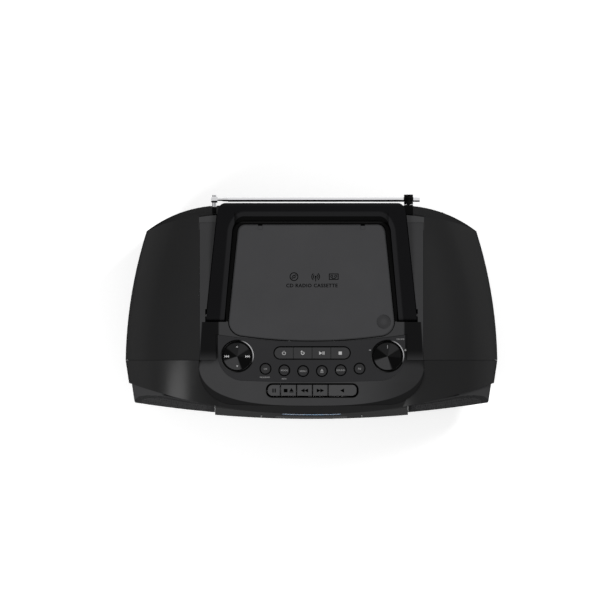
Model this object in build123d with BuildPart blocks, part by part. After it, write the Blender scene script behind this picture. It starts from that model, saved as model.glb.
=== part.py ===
# Portable CD, cassette and radio machine: a wide barrel-shaped cabinet with a flat top.
# X runs to the right, Y to the back and Z up. The origin is on the table under the middle.
import os
from math import atan2, cos, degrees, radians, sin, sqrt

from build123d import *

os.makedirs("parts", exist_ok=True)

# Overall cabinet
body_width = 435.0
deck_height = 162.0
foot_height = 5.0
wall = 2.5
seat_gap = 0.3
seam_gap = 0.4
deck_half = 131.5
widest_height = 63.0
base_half = 182.0
seam_y = -62.3

# Rear cabinet in plan
mid_y = 30.0
mid_half = 207.8
tail_y = 125.0
tail_half = 180.0
tail_base_half = 146.0
rear_y = 118.5
rear_flat_half = 105.0
rear_corner_reach = 36.0
rear_top_y = 107.5
rear_top_flat_half = 95.0
rear_top_corner_reach = 24.8
rear_base_y = 113.0
corner_x = 200.0

# Front cabinet
rim_y = -126.0
rim_side_y = -89.0
rim_side_x = 214.0
nose_y = -127.0
nose_half = 207.0
nose_top = 124.0
nose_flat_half = 100.0
nose_widest = 58.0
nose_base_half = 172.0

# Bezel and control panel
bezel_half = 131.5
bezel_front_y = -115.8
bezel_corner = 42.0
bezel_tongue_half = 111.5
bezel_back_y = -40.8
bezel_back_rise = 8.3
panel_back_height = 162.0
panel_front_y = -88.0
panel_front_height = 153.0
bezel_nose_height = 141.0
bezel_skirt = 9.0
panel_half = 109.5
panel_corner = 30.0
panel_thickness = 1.2

# Lid over the disc
lid_back_y = 96.3
lid_back_half = 85.5
lid_front_half = 98.5
lid_side_front_y = -34.0
lid_front_y = -40.0
lid_front_rise = 8.3
lid_back_corner = 9.0
lid_front_corner = 17.0
lid_thickness = 2.6
lid_skirt = 5.0
lid_gap = 0.8
push_mark = (84.5, -17.5)
push_mark_radius = 8.2

# Disc well and its works
disc_y = 28.0
well_radius = 63.0
well_floor = 142.0
well_hub_hole = 17.0

# Handle
handle_pivot_y = -10.3
handle_pivot_z = 156.0
handle_end_radius = 6.6
handle_arm_top = 163.4
handle_bar_top = 168.0
handle_bottom = 149.5
handle_bar_back = 121.4
handle_bar_front = 100.3
handle_bar_bevel = 10.5
handle_outer_back = 111.5
handle_outer_front = 123.5
handle_inner_back = 91.8
handle_inner_front = 102.2
handle_corner = 9.0
channel_gap = 0.9
pivot_room_in = 100.0
pivot_room_out = 124.4
handle_inner_corner = 12.0
handle_pin_radius = 2.4
running_gap = 0.06

# Front face
face_top_z = 124.0
face_full_z = 50.0
face_base_z = 5.0
grille_top_y = -122.5
grille_top_reach = 31.0
grille_full_y = -128.3
grille_full_reach = 19.5
grille_base_y = -122.0
grille_base_reach = 19.5
grille_inset = 3.2
grille_thickness = 1.2
centre_half = 112.8
centre_proud = 3.0
centre_thickness = 2.8

# Cassette door, display and bay
door_half = 59.0
door_base_z = 25.0
door_top_z = 100.0
door_corner = 5.0
door_gap = 0.5
display_half = 34.5
display_base_z = 104.5
display_top_z = 118.5

# Lid hinge
hinge_x = 60.0
hinge_inset = 2.6
hinge_barrel_radius = 2.4
hinge_pin_radius = 1.0
hinge_lug_width = 4.0
hinge_knuckle = 7.0
hook_size = (6.0, 4.0, 9.0)

# Dials, keys and buttons on the control panel
dial_x = -87.0
knob_x = 89.0
dial_y = -57.8
dial_recess_radius = 19.6
dial_recess_depth = 5.0
dial_radius = 16.7
dial_rise = 1.6
shaft_radius = 3.0
shaft_hole_radius = 4.2
nav_shaft_end = 7.9
pill_left = -43.2
pill_right = 44.6
pill_count = 4
pill_y = -54.0
pill_depth = 13.2
button_count = 6
button_pitch = 22.0
button_middle = 1.2
button_y = -75.3
button_bow = 0.00095
button_radius = 5.6
button_gap = 0.5
key_gap = 0.4
key_rise = 1.2
key_travel = 1.0

# Cassette keys: the edges of the keys from left to right
tape_key_edges = (-51.2, -36.3, -17.4, 1.2, 19.4, 53.0)
tape_key_gap = 0.9
tape_key_y = -97.4
tape_key_depth = 14.2
tape_key_margin = 1.7
tape_key_rise = 1.6
tape_key_thickness = 5.0
key_rod_y = -81.0
key_rod_z = 134.0
key_rod_radius = 1.5
lever_width = 6.0

# Door hinge and cassette carrier
door_axis_y = -124.0
door_axis_z = 30.0
door_pin_radius = 2.0
cheek_x = 52.5
cheek_back_y = -113.0
cheek_height = 34.0

# Antenna
antenna_x = 113.5
antenna_z = 141.0
rod_y = 125.5
rod_radius = 2.75
rod_wall = 0.45
rod_stub = 13.0
rod_tip_x = -98.0
section_step = 6.0
tip_cap_radius = 3.7
tip_cap_length = 7.5
swivel_radius = 5.3
swivel_front_y = 119.6
swivel_back_y = 131.3

# Battery compartment and its door in the back
battery_half = 84.0
battery_base_z = 11.5
battery_top_z = 66.0
battery_depth = 30.0
battery_wall = 2.0
battery_axis_y = 112.9
battery_axis_z = 13.8

# Sockets in the back
inlet_x = -135.0
inlet_z = 32.0
inlet_size = (15.0, 9.0)
inlet_depth = 14.0
jack_x = 128.0
jack_z = 44.0
jack_pitch = 22.0
jack_bore = 1.8
jack_body = 4.0

# Feet and screws
foot_x = 140.0
foot_front_y = -78.0
foot_back_y = 80.0
foot_radius = 9.0
screw_places = ((-89.0, 80.0), (89.0, 80.0), (-89.0, 128.0), (-36.0, 128.0), (36.0, 128.0), (89.0, 128.0))
screw_recess = 1.6
screw_head_radius = 3.2
screw_radius = 1.4
jack_mouths = (115.4, 110.6)
jack_length = 16.0

# Loudspeakers and boards
baffle_y = -82.4
baffle_thickness = 3.0
baffle_inner = 64.0
baffle_top = 136.0
speaker_x = 161.0
speaker_z = 64.0
speaker_radius = 43.0
board_middle = (30.0, 10.0)
board_size = (160.0, 96.0)
board_height = 30.0
transformer_place = (-120.0, 36.0)
key_board_y = -63.3
key_board_half = 103.0
key_board_drop = 9.0
switch_height = 3.5

# Disc mechanism
chassis_z = 128.5
chassis_half = 42.0
chassis_post_x = 38.6
rail_x = 26.0
rail_z = 134.0
rail_radius = 1.5
rail_front_y = -43.0
rail_back_y = 14.5
screw_x = 31.5
sled_y = 3.0
sled_low = 129.5
sled_high = 138.5
lens_y = 4.0
disc_rest = 146.8

# Cassette mechanism
plate_y = -111.0
plate_thickness = 1.5
plate_half = 60.0
plate_top = 112.0
reel_x = 21.25
reel_z = 66.0
spindle_reach = 9.0
capstan_x = 33.0
capstan_z = 86.0
capstan_front_y = -121.0
flywheel_y = -106.0
flywheel_width = 5.0
flywheel_radius = 18.0
motor_x = -35.0
motor_z = 90.0
bracket_y = -99.5
pulley_radius = 3.0
head_plate_y = -111.3
head_low = 96.5
head_top = 108.5
head_travel = 3.0
guide_x = 24.0
guide_z = 102.0
roller_radius = 4.5

# Grille slots
slot_size = (9.0, 1.8)
slot_pitch = (12.0, 4.4)


def save(piece, name):
    """Label a finished piece and write it out under its own name."""
    piece.part.label = name
    export_step(piece.part, f"parts/{name}.step")


def top_edges(piece, plane):
    """Edges of the face that stands highest above a sloping plane."""
    return piece.faces().sort_by(Axis(plane.origin, plane.z_dir))[-1].edges()


def at_y(y):
    """Plane across the cabinet at depth y: local x is X and local y is Z."""
    return Plane.XZ.offset(-y)


def barrel(y, half, top, flat, widest, base, under_half):
    """Cross-section of the cabinet at depth y."""
    with BuildSketch(at_y(y)) as section:
        with BuildLine():
            Line((0, base), (under_half, base))
            TangentArc((half, widest), (under_half, base), tangent=(0, -1))
            TangentArc((half, widest), (flat, top), tangent=(0, 1))
            Line((flat, top), (0, top))
            mirror(about=Plane.YZ)
        make_face()
    return section.sketch


def rear_barrel(inset):
    """The long curved body of the rear cabinet, drawn in by inset."""
    top = deck_height - inset
    base = foot_height + inset
    with BuildPart() as body:
        loft([
            barrel(seam_y, body_width / 2 - inset, top, deck_half, widest_height, base, base_half),
            barrel(mid_y, mid_half - inset, top, deck_half, widest_height, base,
                   base_half - (body_width / 2 - mid_half)),
            barrel(tail_y, tail_half - inset, top, deck_half, widest_height, base, tail_base_half),
        ])
    return body.part


def rear_outline(z, back, flat_half, reach, inset):
    """Plan of the rear cabinet at height z: a flat back with wide rounded corners."""
    back = back - inset
    with BuildSketch(Plane.XY.offset(z)) as plan:
        with BuildLine():
            Line((0, back), (flat_half, back))
            TangentArc((flat_half, back), (corner_x, back - reach), tangent=(1, 0))
            Polyline((corner_x, back - reach), (body_width / 2 + 20, mid_y), (body_width / 2 + 20, seam_y - 1),
                     (0, seam_y - 1))
            mirror(about=Plane.YZ)
        make_face()
    return plan.sketch


def rear_block(inset):
    """Block that gives the rear cabinet its leaning back face."""
    with BuildPart() as block:
        loft([
            rear_outline(0, rear_base_y, rear_flat_half, rear_corner_reach, inset),
            rear_outline(widest_height, rear_y, rear_flat_half, rear_corner_reach, inset),
            rear_outline(deck_height + 1, rear_top_y, rear_top_flat_half, rear_top_corner_reach, inset),
        ], ruled=True)
    return block.part


def front_barrel(inset):
    """The short front body, which falls and narrows from the seam to the rim."""
    base = foot_height + inset
    with BuildPart() as body:
        loft([
            barrel(seam_y - seam_gap, body_width / 2 - inset, deck_height - inset, deck_half,
                   widest_height, base, base_half),
            barrel(nose_y - 6, nose_half - inset, nose_top - inset, nose_flat_half, nose_widest, base,
                   nose_base_half),
        ], ruled=True)
    return body.part


def back_surface(z):
    """Depth of the leaning back face at height z."""
    return rear_y - (z - widest_height) * (rear_y - rear_top_y) / (deck_height + 1 - widest_height)


def face_outline(z, y, reach):
    """Plan of the bowed front at height z, back to a straight line inside the cabinet."""
    side_x = rim_side_x + 12
    with BuildSketch(Plane.XY.offset(z)) as plan:
        with BuildLine():
            ThreePointArc((-side_x, y + reach), (0, y), (side_x, y + reach))
            Polyline((side_x, y + reach), (side_x, seam_y), (-side_x, seam_y), (-side_x, y + reach))
        make_face()
    return plan.sketch


def face_block(forward):
    """Block whose front is the leaning, bowed face, moved forward by the given amount."""
    with BuildPart() as block:
        loft([
            face_outline(face_base_z - 1, grille_base_y - forward, grille_base_reach),
            face_outline(face_full_z, grille_full_y - forward, grille_full_reach),
            face_outline(face_top_z + 1, grille_top_y - forward, grille_top_reach),
        ], ruled=True)
    return block.part


def handle_outline(grow):
    """Plan of the U-shaped handle, grown sideways by grow."""
    front_y = handle_pivot_y - handle_end_radius - grow
    lean_out = (handle_outer_front - handle_outer_back) / (lid_back_y - handle_pivot_y)
    with BuildSketch() as outer:
        with BuildLine():
            back_x = handle_outer_back - lean_out * (handle_bar_back - lid_back_y) + grow
            front_x = handle_outer_front + grow
            Polyline((0, front_y), (front_x, front_y), (back_x, handle_bar_back + grow),
                     (0, handle_bar_back + grow))
            mirror(about=Plane.YZ)
        make_face()
        fillet(outer.vertices().group_by(Axis.Y)[-1], handle_corner)
        with BuildLine():
            Polyline((0, front_y - 1), (handle_inner_front - grow, front_y - 1),
                     (handle_inner_back - grow, handle_bar_front - grow), (0, handle_bar_front - grow))
            mirror(about=Plane.YZ)
        make_face(mode=Mode.SUBTRACT)
        bar_line = [v for v in outer.vertices() if abs(v.Y - handle_bar_front + grow) < 0.01]
        fillet([v for v in bar_line if abs(v.X) > 1], handle_inner_corner + grow)
    return outer.sketch


def lid_outline(grow):
    """Plan of the lid, grown by grow."""
    with BuildSketch() as plan:
        with BuildLine():
            ThreePointArc((-lid_front_half, lid_front_y + lid_front_rise), (0, lid_front_y),
                          (lid_front_half, lid_front_y + lid_front_rise))
            Polyline((lid_front_half, lid_front_y + lid_front_rise), (lid_back_half, lid_back_y),
                     (-lid_back_half, lid_back_y), (-lid_front_half, lid_front_y + lid_front_rise))
        make_face()
        fillet(plan.vertices().group_by(Axis.Y)[-1], lid_back_corner)
        fillet(plan.vertices().group_by(Axis.Y)[0], lid_front_corner)
        if grow:
            offset(amount=grow)
    return plan.sketch


def bezel_outline(grow):
    """Plan of the raised bezel, with its tongue that runs back to the lid."""
    with BuildSketch() as plan:
        with BuildLine():
            front = bezel_front_y - grow
            side = bezel_half + grow
            back = seam_y - seam_gap
            ThreePointArc((-side, front + 3), (0, front), (side, front + 3))
            Polyline((side, front + 3), (side, back), (-side, back), (-side, front + 3))
        make_face()
        fillet(plan.vertices().group_by(Axis.Y)[0], bezel_corner + grow)
        with BuildLine():
            tongue = bezel_tongue_half + grow
            rear = bezel_back_y + grow
            ThreePointArc((-tongue, rear + bezel_back_rise), (0, rear), (tongue, rear + bezel_back_rise))
            Polyline((tongue, rear + bezel_back_rise), (tongue, back - 1), (-tongue, back - 1),
                     (-tongue, rear + bezel_back_rise))
        make_face()
    return plan.sketch


# Rear cabinet: shoulders, sides, back and half of the underside, open to the front and on top
with BuildPart() as handle_channel:
    extrude(to_extrude=handle_outline(channel_gap), amount=handle_bar_top - handle_bottom + 1)
    for side in (-1, 1):
        with Locations((side * (pivot_room_in + pivot_room_out) / 2, handle_pivot_y, 0)):
            Box(pivot_room_out - pivot_room_in, 2 * (handle_end_radius + channel_gap),
                handle_bar_top - handle_bottom + 1, align=(Align.CENTER, Align.CENTER, Align.MIN))
channel_cut = handle_channel.part.moved(Location((0, 0, handle_bottom - 0.7)))

cover_back = handle_bar_front - channel_gap - 0.9
shelf_floor = handle_bottom - 0.7 - wall
with BuildPart() as rear_room:
    add(rear_barrel(wall))
    add(rear_block(wall), mode=Mode.INTERSECT)
    with Locations((0, (cover_back + rear_y) / 2, (shelf_floor + deck_height) / 2)):
        Box(2 * (handle_outer_back + 6), rear_y - cover_back, deck_height - shelf_floor, mode=Mode.SUBTRACT)

# Battery compartment, moulded in one with the back
tub_z = (battery_base_z + battery_top_z) / 2
tub_height = battery_top_z - battery_base_z
with BuildPart() as battery_tub:
    with Locations((0, rear_y - battery_depth / 2, tub_z)):
        Box(2 * (battery_half + battery_wall), battery_depth + 2 * battery_wall, tub_height + 2 * battery_wall)
        Box(2 * battery_half, battery_depth, tub_height, mode=Mode.SUBTRACT)
    add(rear_block(0), mode=Mode.INTERSECT)

with BuildPart() as rear_cabinet:
    add(rear_barrel(0))
    add(rear_block(0), mode=Mode.INTERSECT)
    add(rear_room.part, mode=Mode.SUBTRACT)
    add(channel_cut, mode=Mode.SUBTRACT)
    with Locations((0, (seam_y + cover_back) / 2, deck_height)):
        Box(2 * (deck_half - 0.4), cover_back - seam_y + 0.02, 40, mode=Mode.SUBTRACT)
    add(battery_tub.part)
    with Locations((0, rear_y, tub_z)):
        Box(2 * battery_half, 20, tub_height, mode=Mode.SUBTRACT)
    with Locations(Location((0, battery_axis_y, battery_axis_z), (0, 90, 0))):
        Cylinder(0.9 + running_gap, 2 * (battery_half + 1.6), mode=Mode.SUBTRACT)
    # Posts for the main board, and holes for the screws, the mains inlet and the two jacks
    for x in (-1, 1):
        for y in (-1, 1):
            post = (board_middle[0] + x * (board_size[0] / 2 - 6), board_middle[1] + y * (board_size[1] / 2 - 6))
            with Locations((*post, foot_height + wall / 2)):
                Cylinder(3, board_height - foot_height - wall / 2, align=(Align.CENTER, Align.CENTER, Align.MIN))
    for x, z in screw_places:
        with Locations(Location((x, back_surface(z) - screw_recess, z), (-90, 0, 0))):
            Cylinder(screw_head_radius + 0.3, 10, align=(Align.CENTER, Align.CENTER, Align.MIN), mode=Mode.SUBTRACT)
            Cylinder(screw_radius, 12, mode=Mode.SUBTRACT)
    with Locations((inlet_x, rear_y, inlet_z)):
        Box(inlet_size[0] + 4.4, 60, inlet_size[1] + 4.4, mode=Mode.SUBTRACT)
    for x in (jack_x, jack_x + jack_pitch):
        with Locations(Location((x, rear_y, jack_z), (90, 0, 0))):
            Cylinder(jack_body + 0.1, 60, mode=Mode.SUBTRACT)
save(rear_cabinet, "rear_cabinet")

# Front cabinet: a ring open at its front, with the hole that the bezel fills
with BuildPart() as speaker_baffle:
    add(front_barrel(wall / 2))
    with Locations((0, baffle_y, 0)):
        Box(500, baffle_thickness, 2 * baffle_top, align=(Align.CENTER, Align.MIN, Align.CENTER),
            mode=Mode.INTERSECT)
    Box(2 * baffle_inner, 400, 400, mode=Mode.SUBTRACT)
    for x in (-speaker_x, speaker_x):
        with Locations(Location((x, baffle_y, speaker_z), (90, 0, 0))):
            Cylinder(speaker_radius - 3, 20, mode=Mode.SUBTRACT)

with BuildPart() as front_cabinet:
    add(front_barrel(0))
    with BuildSketch(Plane.XY) as rim_plan:
        with BuildLine():
            ThreePointArc((-rim_side_x, rim_side_y), (0, rim_y), (rim_side_x, rim_side_y))
            Polyline((rim_side_x, rim_side_y), (rim_side_x + 15, rim_side_y + 4),
                     (rim_side_x + 15, seam_y + 1), (-rim_side_x - 15, seam_y + 1),
                     (-rim_side_x - 15, rim_side_y + 4), (-rim_side_x, rim_side_y))
        make_face()
    extrude(amount=deck_height + 1, mode=Mode.INTERSECT)
    add(front_barrel(wall), mode=Mode.SUBTRACT)
    bezel_hole = bezel_outline(seat_gap).moved(Location((0, 0, nose_top - 20)))
    extrude(to_extrude=bezel_hole, amount=deck_height, mode=Mode.SUBTRACT)
    add(speaker_baffle.part)
save(front_cabinet, "front_cabinet")

# Top cover: the flat deck with the handle's channels, the lid's ledge and the disc well
ledge_z = deck_height - lid_skirt - 0.4
with BuildPart() as cover_region:
    with BuildSketch():
        cover_half = deck_half - 0.4 - seat_gap
        cover_rear = cover_back - seat_gap
        with Locations((0, (seam_y + cover_rear) / 2)):
            Rectangle(2 * cover_half, cover_rear - seam_y)
    extrude(amount=deck_height)
    extrude(to_extrude=bezel_outline(seat_gap), amount=deck_height + 1, mode=Mode.SUBTRACT)

hinge_y = lid_back_y - hinge_inset
hinge_z = deck_height - hinge_inset
slot_front = disc_y - well_radius + 2.5
slot_back = disc_y - well_hub_hole + 4
with BuildPart() as top_cover:
    with BuildSketch(Plane.XY.offset(deck_height - wall)):
        with Locations((0, 20)):
            Rectangle(400, 400)
    extrude(amount=wall)
    tub = handle_outline(channel_gap + wall).moved(Location((0, 0, handle_bottom - 0.7 - wall)))
    extrude(to_extrude=tub, amount=deck_height - handle_bottom)
    ledge = lid_outline(lid_gap + wall).moved(Location((0, 0, ledge_z - wall)))
    extrude(to_extrude=ledge, amount=wall + lid_skirt)
    with BuildSketch(Plane.XY.offset(well_floor - wall)):
        with Locations((0, disc_y)):
            Circle(well_radius + wall)
    extrude(amount=ledge_z - well_floor)
    lid_room = lid_outline(lid_gap).moved(Location((0, 0, ledge_z)))
    extrude(to_extrude=lid_room, amount=20, mode=Mode.SUBTRACT)
    with BuildSketch(Plane.XY.offset(well_floor)):
        with Locations((0, disc_y)):
            Circle(well_radius)
    extrude(amount=40, mode=Mode.SUBTRACT)
    with BuildSketch(Plane.XY.offset(well_floor - wall - 1)):
        with Locations((0, disc_y)):
            Circle(well_hub_hole)
        with Locations((0, (slot_front + slot_back) / 2)):
            SlotOverall(slot_back - slot_front, 22, rotation=90)
        with Locations(push_mark):
            Rectangle(hook_size[0] + 3, hook_size[1] + 4)
    extrude(amount=30, mode=Mode.SUBTRACT)
    add(channel_cut, mode=Mode.SUBTRACT)
    with Locations((-hinge_x, hinge_y, (ledge_z + hinge_z) / 2), (hinge_x, hinge_y, (ledge_z + hinge_z) / 2)):
        Box(hinge_lug_width, 2 * hinge_barrel_radius, hinge_z - ledge_z)
    with Locations(Location((0, hinge_y, hinge_z), (0, 90, 0))):
        Cylinder(hinge_barrel_radius, 2 * hinge_x + hinge_lug_width)
        Cylinder(hinge_barrel_radius + 1, 2 * hinge_x - hinge_lug_width, mode=Mode.SUBTRACT)
        Cylinder(hinge_pin_radius, 4 * hinge_x, mode=Mode.SUBTRACT)
    for side in (-1, 1):
        boss_x = side * (handle_outer_front + channel_gap + wall / 2)
        with Locations(Location((boss_x, handle_pivot_y, handle_pivot_z), (0, 90, 0))):
            Cylinder(handle_pin_radius + wall, wall)
            Cylinder(handle_pin_radius, 4 * wall, mode=Mode.SUBTRACT)
    add(cover_region.part, mode=Mode.INTERSECT)
save(top_cover, "top_cover")

# Lid over the disc: a plate with a skirt on three sides, a push mark and hinge knuckles
with BuildPart() as cd_lid:
    extrude(to_extrude=lid_outline(0).moved(Location((0, 0, deck_height - lid_thickness))), amount=lid_thickness)
    rim = lid_outline(0).moved(Location((0, 0, deck_height - lid_skirt)))
    extrude(to_extrude=rim, amount=lid_skirt - lid_thickness)
    inner = lid_outline(-2.2).moved(Location((0, 0, deck_height - lid_skirt)))
    extrude(to_extrude=inner, amount=lid_skirt - lid_thickness, mode=Mode.SUBTRACT)
    with Locations((0, lid_back_y, deck_height - lid_thickness - 5)):
        Box(300, 2 * 9, 10, mode=Mode.SUBTRACT)
    chamfer(cd_lid.edges().group_by(Axis.Y)[-1].group_by(Axis.Z)[-1], 1.5)
    with BuildSketch(Plane.XY.offset(deck_height)):
        with Locations(push_mark):
            Circle(push_mark_radius)
    extrude(amount=-0.7, mode=Mode.SUBTRACT)
    with Locations((push_mark[0], push_mark[1], deck_height - lid_thickness)):
        Box(*hook_size, align=(Align.CENTER, Align.CENTER, Align.MAX))
    for side in (-1, 1):
        for away in (-1, 1):
            knuckle_x = side * hinge_x + away * (hinge_lug_width / 2 + 0.5 + hinge_knuckle / 2)
            with Locations(Location((knuckle_x, hinge_y, hinge_z), (0, 90, 0))):
                Cylinder(hinge_barrel_radius, hinge_knuckle)
        with Locations((side * hinge_x, lid_back_y, hinge_z)):
            Box(hinge_lug_width + 1, 11.4, 12, mode=Mode.SUBTRACT)
        with Locations(Location((side * hinge_x, hinge_y, hinge_z), (0, 90, 0))):
            Cylinder(hinge_pin_radius + running_gap, 40, mode=Mode.SUBTRACT)
save(cd_lid, "cd_lid")

# Carry handle: a U with a bevelled bar and round ends at its pivots
with BuildPart() as carry_handle:
    extrude(to_extrude=handle_outline(0).moved(Location((0, 0, handle_bottom - 1))), amount=40)
    arm_low = handle_pivot_z - handle_end_radius
    with BuildSketch(Plane.YZ):
        with BuildLine():
            arm_high = handle_pivot_z + handle_end_radius
            ThreePointArc((handle_pivot_y, arm_low), (handle_pivot_y - handle_end_radius, handle_pivot_z),
                          (handle_pivot_y, arm_high))
            Spline((handle_pivot_y, arm_high), (handle_pivot_y + 40, handle_arm_top),
                   (handle_bar_front + handle_bar_bevel - 4, handle_bar_top), tangents=((1, 0), (1, 0)))
            Polyline((handle_bar_front + handle_bar_bevel - 4, handle_bar_top),
                     (handle_bar_back - 3, handle_bar_top), (handle_bar_back, handle_bar_top - 3),
                     (handle_bar_back, arm_low + 2), (handle_bar_back - 2, arm_low), (handle_pivot_y, arm_low))
        make_face()
    extrude(amount=200, both=True, mode=Mode.INTERSECT)
    with BuildSketch(Plane.YZ):
        with BuildLine():
            Polyline((handle_bar_front - 3, handle_bar_top - 8), (handle_bar_front, handle_bar_top - 7),
                     (handle_bar_front + handle_bar_bevel, handle_bar_top), (handle_bar_front - 3, handle_bar_top + 2),
                     close=True)
        make_face()
    extrude(amount=handle_inner_back - 1.5, both=True, mode=Mode.SUBTRACT)
    with Locations(Location((0, handle_pivot_y, handle_pivot_z), (0, 90, 0))):
        Cylinder(handle_pin_radius + running_gap, 400, mode=Mode.SUBTRACT)
save(carry_handle, "carry_handle")

# Steel pins of the lid and the handle
with BuildPart() as hinge_pins:
    pin_length = 2 * hinge_knuckle + hinge_lug_width
    for side in (-1, 1):
        with Locations(Location((side * hinge_x, hinge_y, hinge_z), (0, 90, 0))):
            Cylinder(hinge_pin_radius, pin_length)
        pin_in = handle_inner_front + 8
        pin_out = handle_outer_front + channel_gap + wall
        with Locations(Location((side * (pin_in + pin_out) / 2, handle_pivot_y, handle_pivot_z), (0, 90, 0))):
            Cylinder(handle_pin_radius, pin_out - pin_in)
    with Locations(Location((0, key_rod_y, key_rod_z), (0, 90, 0))):
        Cylinder(key_rod_radius, 2 * plate_half + 4)
save(hinge_pins, "hinge_pins")

# Planes of the two slopes in front of the lid
panel_rise = panel_back_height - panel_front_height
panel_angle = atan2(panel_rise, bezel_back_y - panel_front_y)
key_angle = atan2(panel_front_height - bezel_nose_height, panel_front_y - bezel_front_y)


def slope_plane(y, angle):
    """Plane on a slope of the bezel at depth y: local x is X, local y runs up the slope."""
    if y > panel_front_y:
        z = panel_front_height + (y - panel_front_y) * panel_rise / (bezel_back_y - panel_front_y)
    else:
        z = panel_front_height - (panel_front_y - y) * sin(key_angle) / cos(key_angle)
    return Plane(origin=(0, y, z), x_dir=(1, 0, 0), z_dir=(0, -sin(angle), cos(angle)))


def slope_region(drop, low):
    """Side view of the bezel under its two slopes, lowered by drop and cut off at low beneath."""
    back = bezel_back_y + bezel_back_rise + 5
    with BuildSketch(Plane.YZ) as side:
        with BuildLine():
            Polyline((back, panel_back_height - drop), (bezel_back_y, panel_back_height - drop),
                     (panel_front_y, panel_front_height - drop), (bezel_front_y - 4, bezel_nose_height - 1.7 - drop),
                     (bezel_front_y - 4, bezel_nose_height - 1.7 - low), (panel_front_y, panel_front_height - low),
                     (bezel_back_y, panel_back_height - low), (back, panel_back_height - low), close=True)
        make_face()
    return side.sketch


def panel_outline(grow):
    """Plan of the dark control panel, grown by grow."""
    with BuildSketch() as plan:
        with BuildLine():
            side = panel_half + grow
            rear = bezel_back_y - 0.6 + grow
            ThreePointArc((-side, rear + bezel_back_rise), (0, rear), (side, rear + bezel_back_rise))
            Line((side, rear + bezel_back_rise), (side, panel_front_y + 3 - grow))
            ThreePointArc((side, panel_front_y + 3 - grow), (0, panel_front_y - grow),
                          (-side, panel_front_y + 3 - grow))
            Line((-side, panel_front_y + 3 - grow), (-side, rear + bezel_back_rise))
        make_face()
        fillet(plan.vertices().group_by(Axis.Y)[0], panel_corner + grow)
    return plan.sketch


dial_plane = slope_plane(dial_y, panel_angle)
pill_plane = slope_plane(pill_y, panel_angle)
tape_plane = slope_plane(tape_key_y, key_angle)
button_places = []
for i in range(button_count):
    button_x = button_middle + (i - (button_count - 1) / 2) * button_pitch
    button_places.append((button_x, button_y + button_bow * button_x ** 2))
tape_left = tape_key_edges[0] - tape_key_margin
tape_right = tape_key_edges[-1] + tape_key_margin

with BuildPart() as bezel_room:
    extrude(to_extrude=bezel_outline(-wall), amount=200)
    extrude(to_extrude=slope_region(wall, bezel_skirt + 5), amount=200, both=True, mode=Mode.INTERSECT)
with BuildPart() as panel_seat:
    extrude(to_extrude=panel_outline(0.2), amount=200)
    extrude(to_extrude=slope_region(-5, panel_thickness), amount=200, both=True, mode=Mode.INTERSECT)

with BuildPart() as control_bezel:
    extrude(to_extrude=bezel_outline(0), amount=200)
    extrude(to_extrude=slope_region(0, bezel_skirt), amount=200, both=True, mode=Mode.INTERSECT)
    add(bezel_room.part, mode=Mode.SUBTRACT)
    for x in (dial_x, knob_x):
        with BuildSketch(dial_plane.offset(-dial_recess_depth - wall)):
            with Locations((x, 0)):
                Circle(dial_recess_radius + 0.9)
        extrude(amount=dial_recess_depth + wall - panel_thickness)
    add(panel_seat.part, mode=Mode.SUBTRACT)
    with BuildSketch(dial_plane.offset(-dial_recess_depth)):
        with Locations((dial_x, 0), (knob_x, 0)):
            Circle(dial_recess_radius)
    extrude(amount=20, mode=Mode.SUBTRACT)
    with BuildSketch(dial_plane.offset(-20)):
        with Locations((dial_x, 0), (knob_x, 0)):
            Circle(shaft_hole_radius)
    extrude(amount=40, mode=Mode.SUBTRACT)
    with BuildSketch(pill_plane.offset(-10)):
        with Locations(((pill_left + pill_right) / 2, 0)):
            SlotOverall(pill_right - pill_left + 2 * key_gap, pill_depth + 2 * key_gap)
    extrude(amount=20, mode=Mode.SUBTRACT)
    for x, y in button_places:
        with BuildSketch(slope_plane(y, panel_angle).offset(-10)):
            with Locations((x, 0)):
                Circle(button_radius + button_gap)
        extrude(amount=20, mode=Mode.SUBTRACT)
    with BuildSketch(tape_plane.offset(-12)):
        with Locations(((tape_left + tape_right) / 2, -0.6)):
            RectangleRounded(tape_right - tape_left, tape_key_depth + 2 * tape_key_margin, 7)
    extrude(amount=24, mode=Mode.SUBTRACT)
save(control_bezel, "control_bezel")

with BuildPart() as control_panel:
    extrude(to_extrude=panel_outline(0), amount=200)
    extrude(to_extrude=slope_region(0, panel_thickness - 0.1), amount=200, both=True, mode=Mode.INTERSECT)
    with BuildSketch(dial_plane.offset(-10)):
        with Locations((dial_x, 0), (knob_x, 0)):
            Circle(dial_recess_radius)
    extrude(amount=20, mode=Mode.SUBTRACT)
    with BuildSketch(pill_plane.offset(-10)):
        with Locations(((pill_left + pill_right) / 2, 0)):
            SlotOverall(pill_right - pill_left + 2 * key_gap, pill_depth + 2 * key_gap)
    extrude(amount=20, mode=Mode.SUBTRACT)
    for x, y in button_places:
        with BuildSketch(slope_plane(y, panel_angle).offset(-10)):
            with Locations((x, 0)):
                Circle(button_radius + button_gap)
        extrude(amount=20, mode=Mode.SUBTRACT)
save(control_panel, "control_panel")

# Front face pieces share one leaning, bowed skin
with BuildPart() as centre_skin:
    add(face_block(centre_proud))
    add(front_barrel(grille_inset), mode=Mode.INTERSECT)
    add(face_block(centre_proud - centre_thickness), mode=Mode.SUBTRACT)
    Box(2 * centre_half, 400, 400, mode=Mode.INTERSECT)


def face_cut(half, low, high, corner):
    """Bar through the front with a rounded outline."""
    with BuildPart() as bar:
        with BuildSketch(at_y(seam_y)):
            with Locations((0, (low + high) / 2)):
                RectangleRounded(2 * half, high - low, corner)
        extrude(amount=90)
    return bar.part


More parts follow.
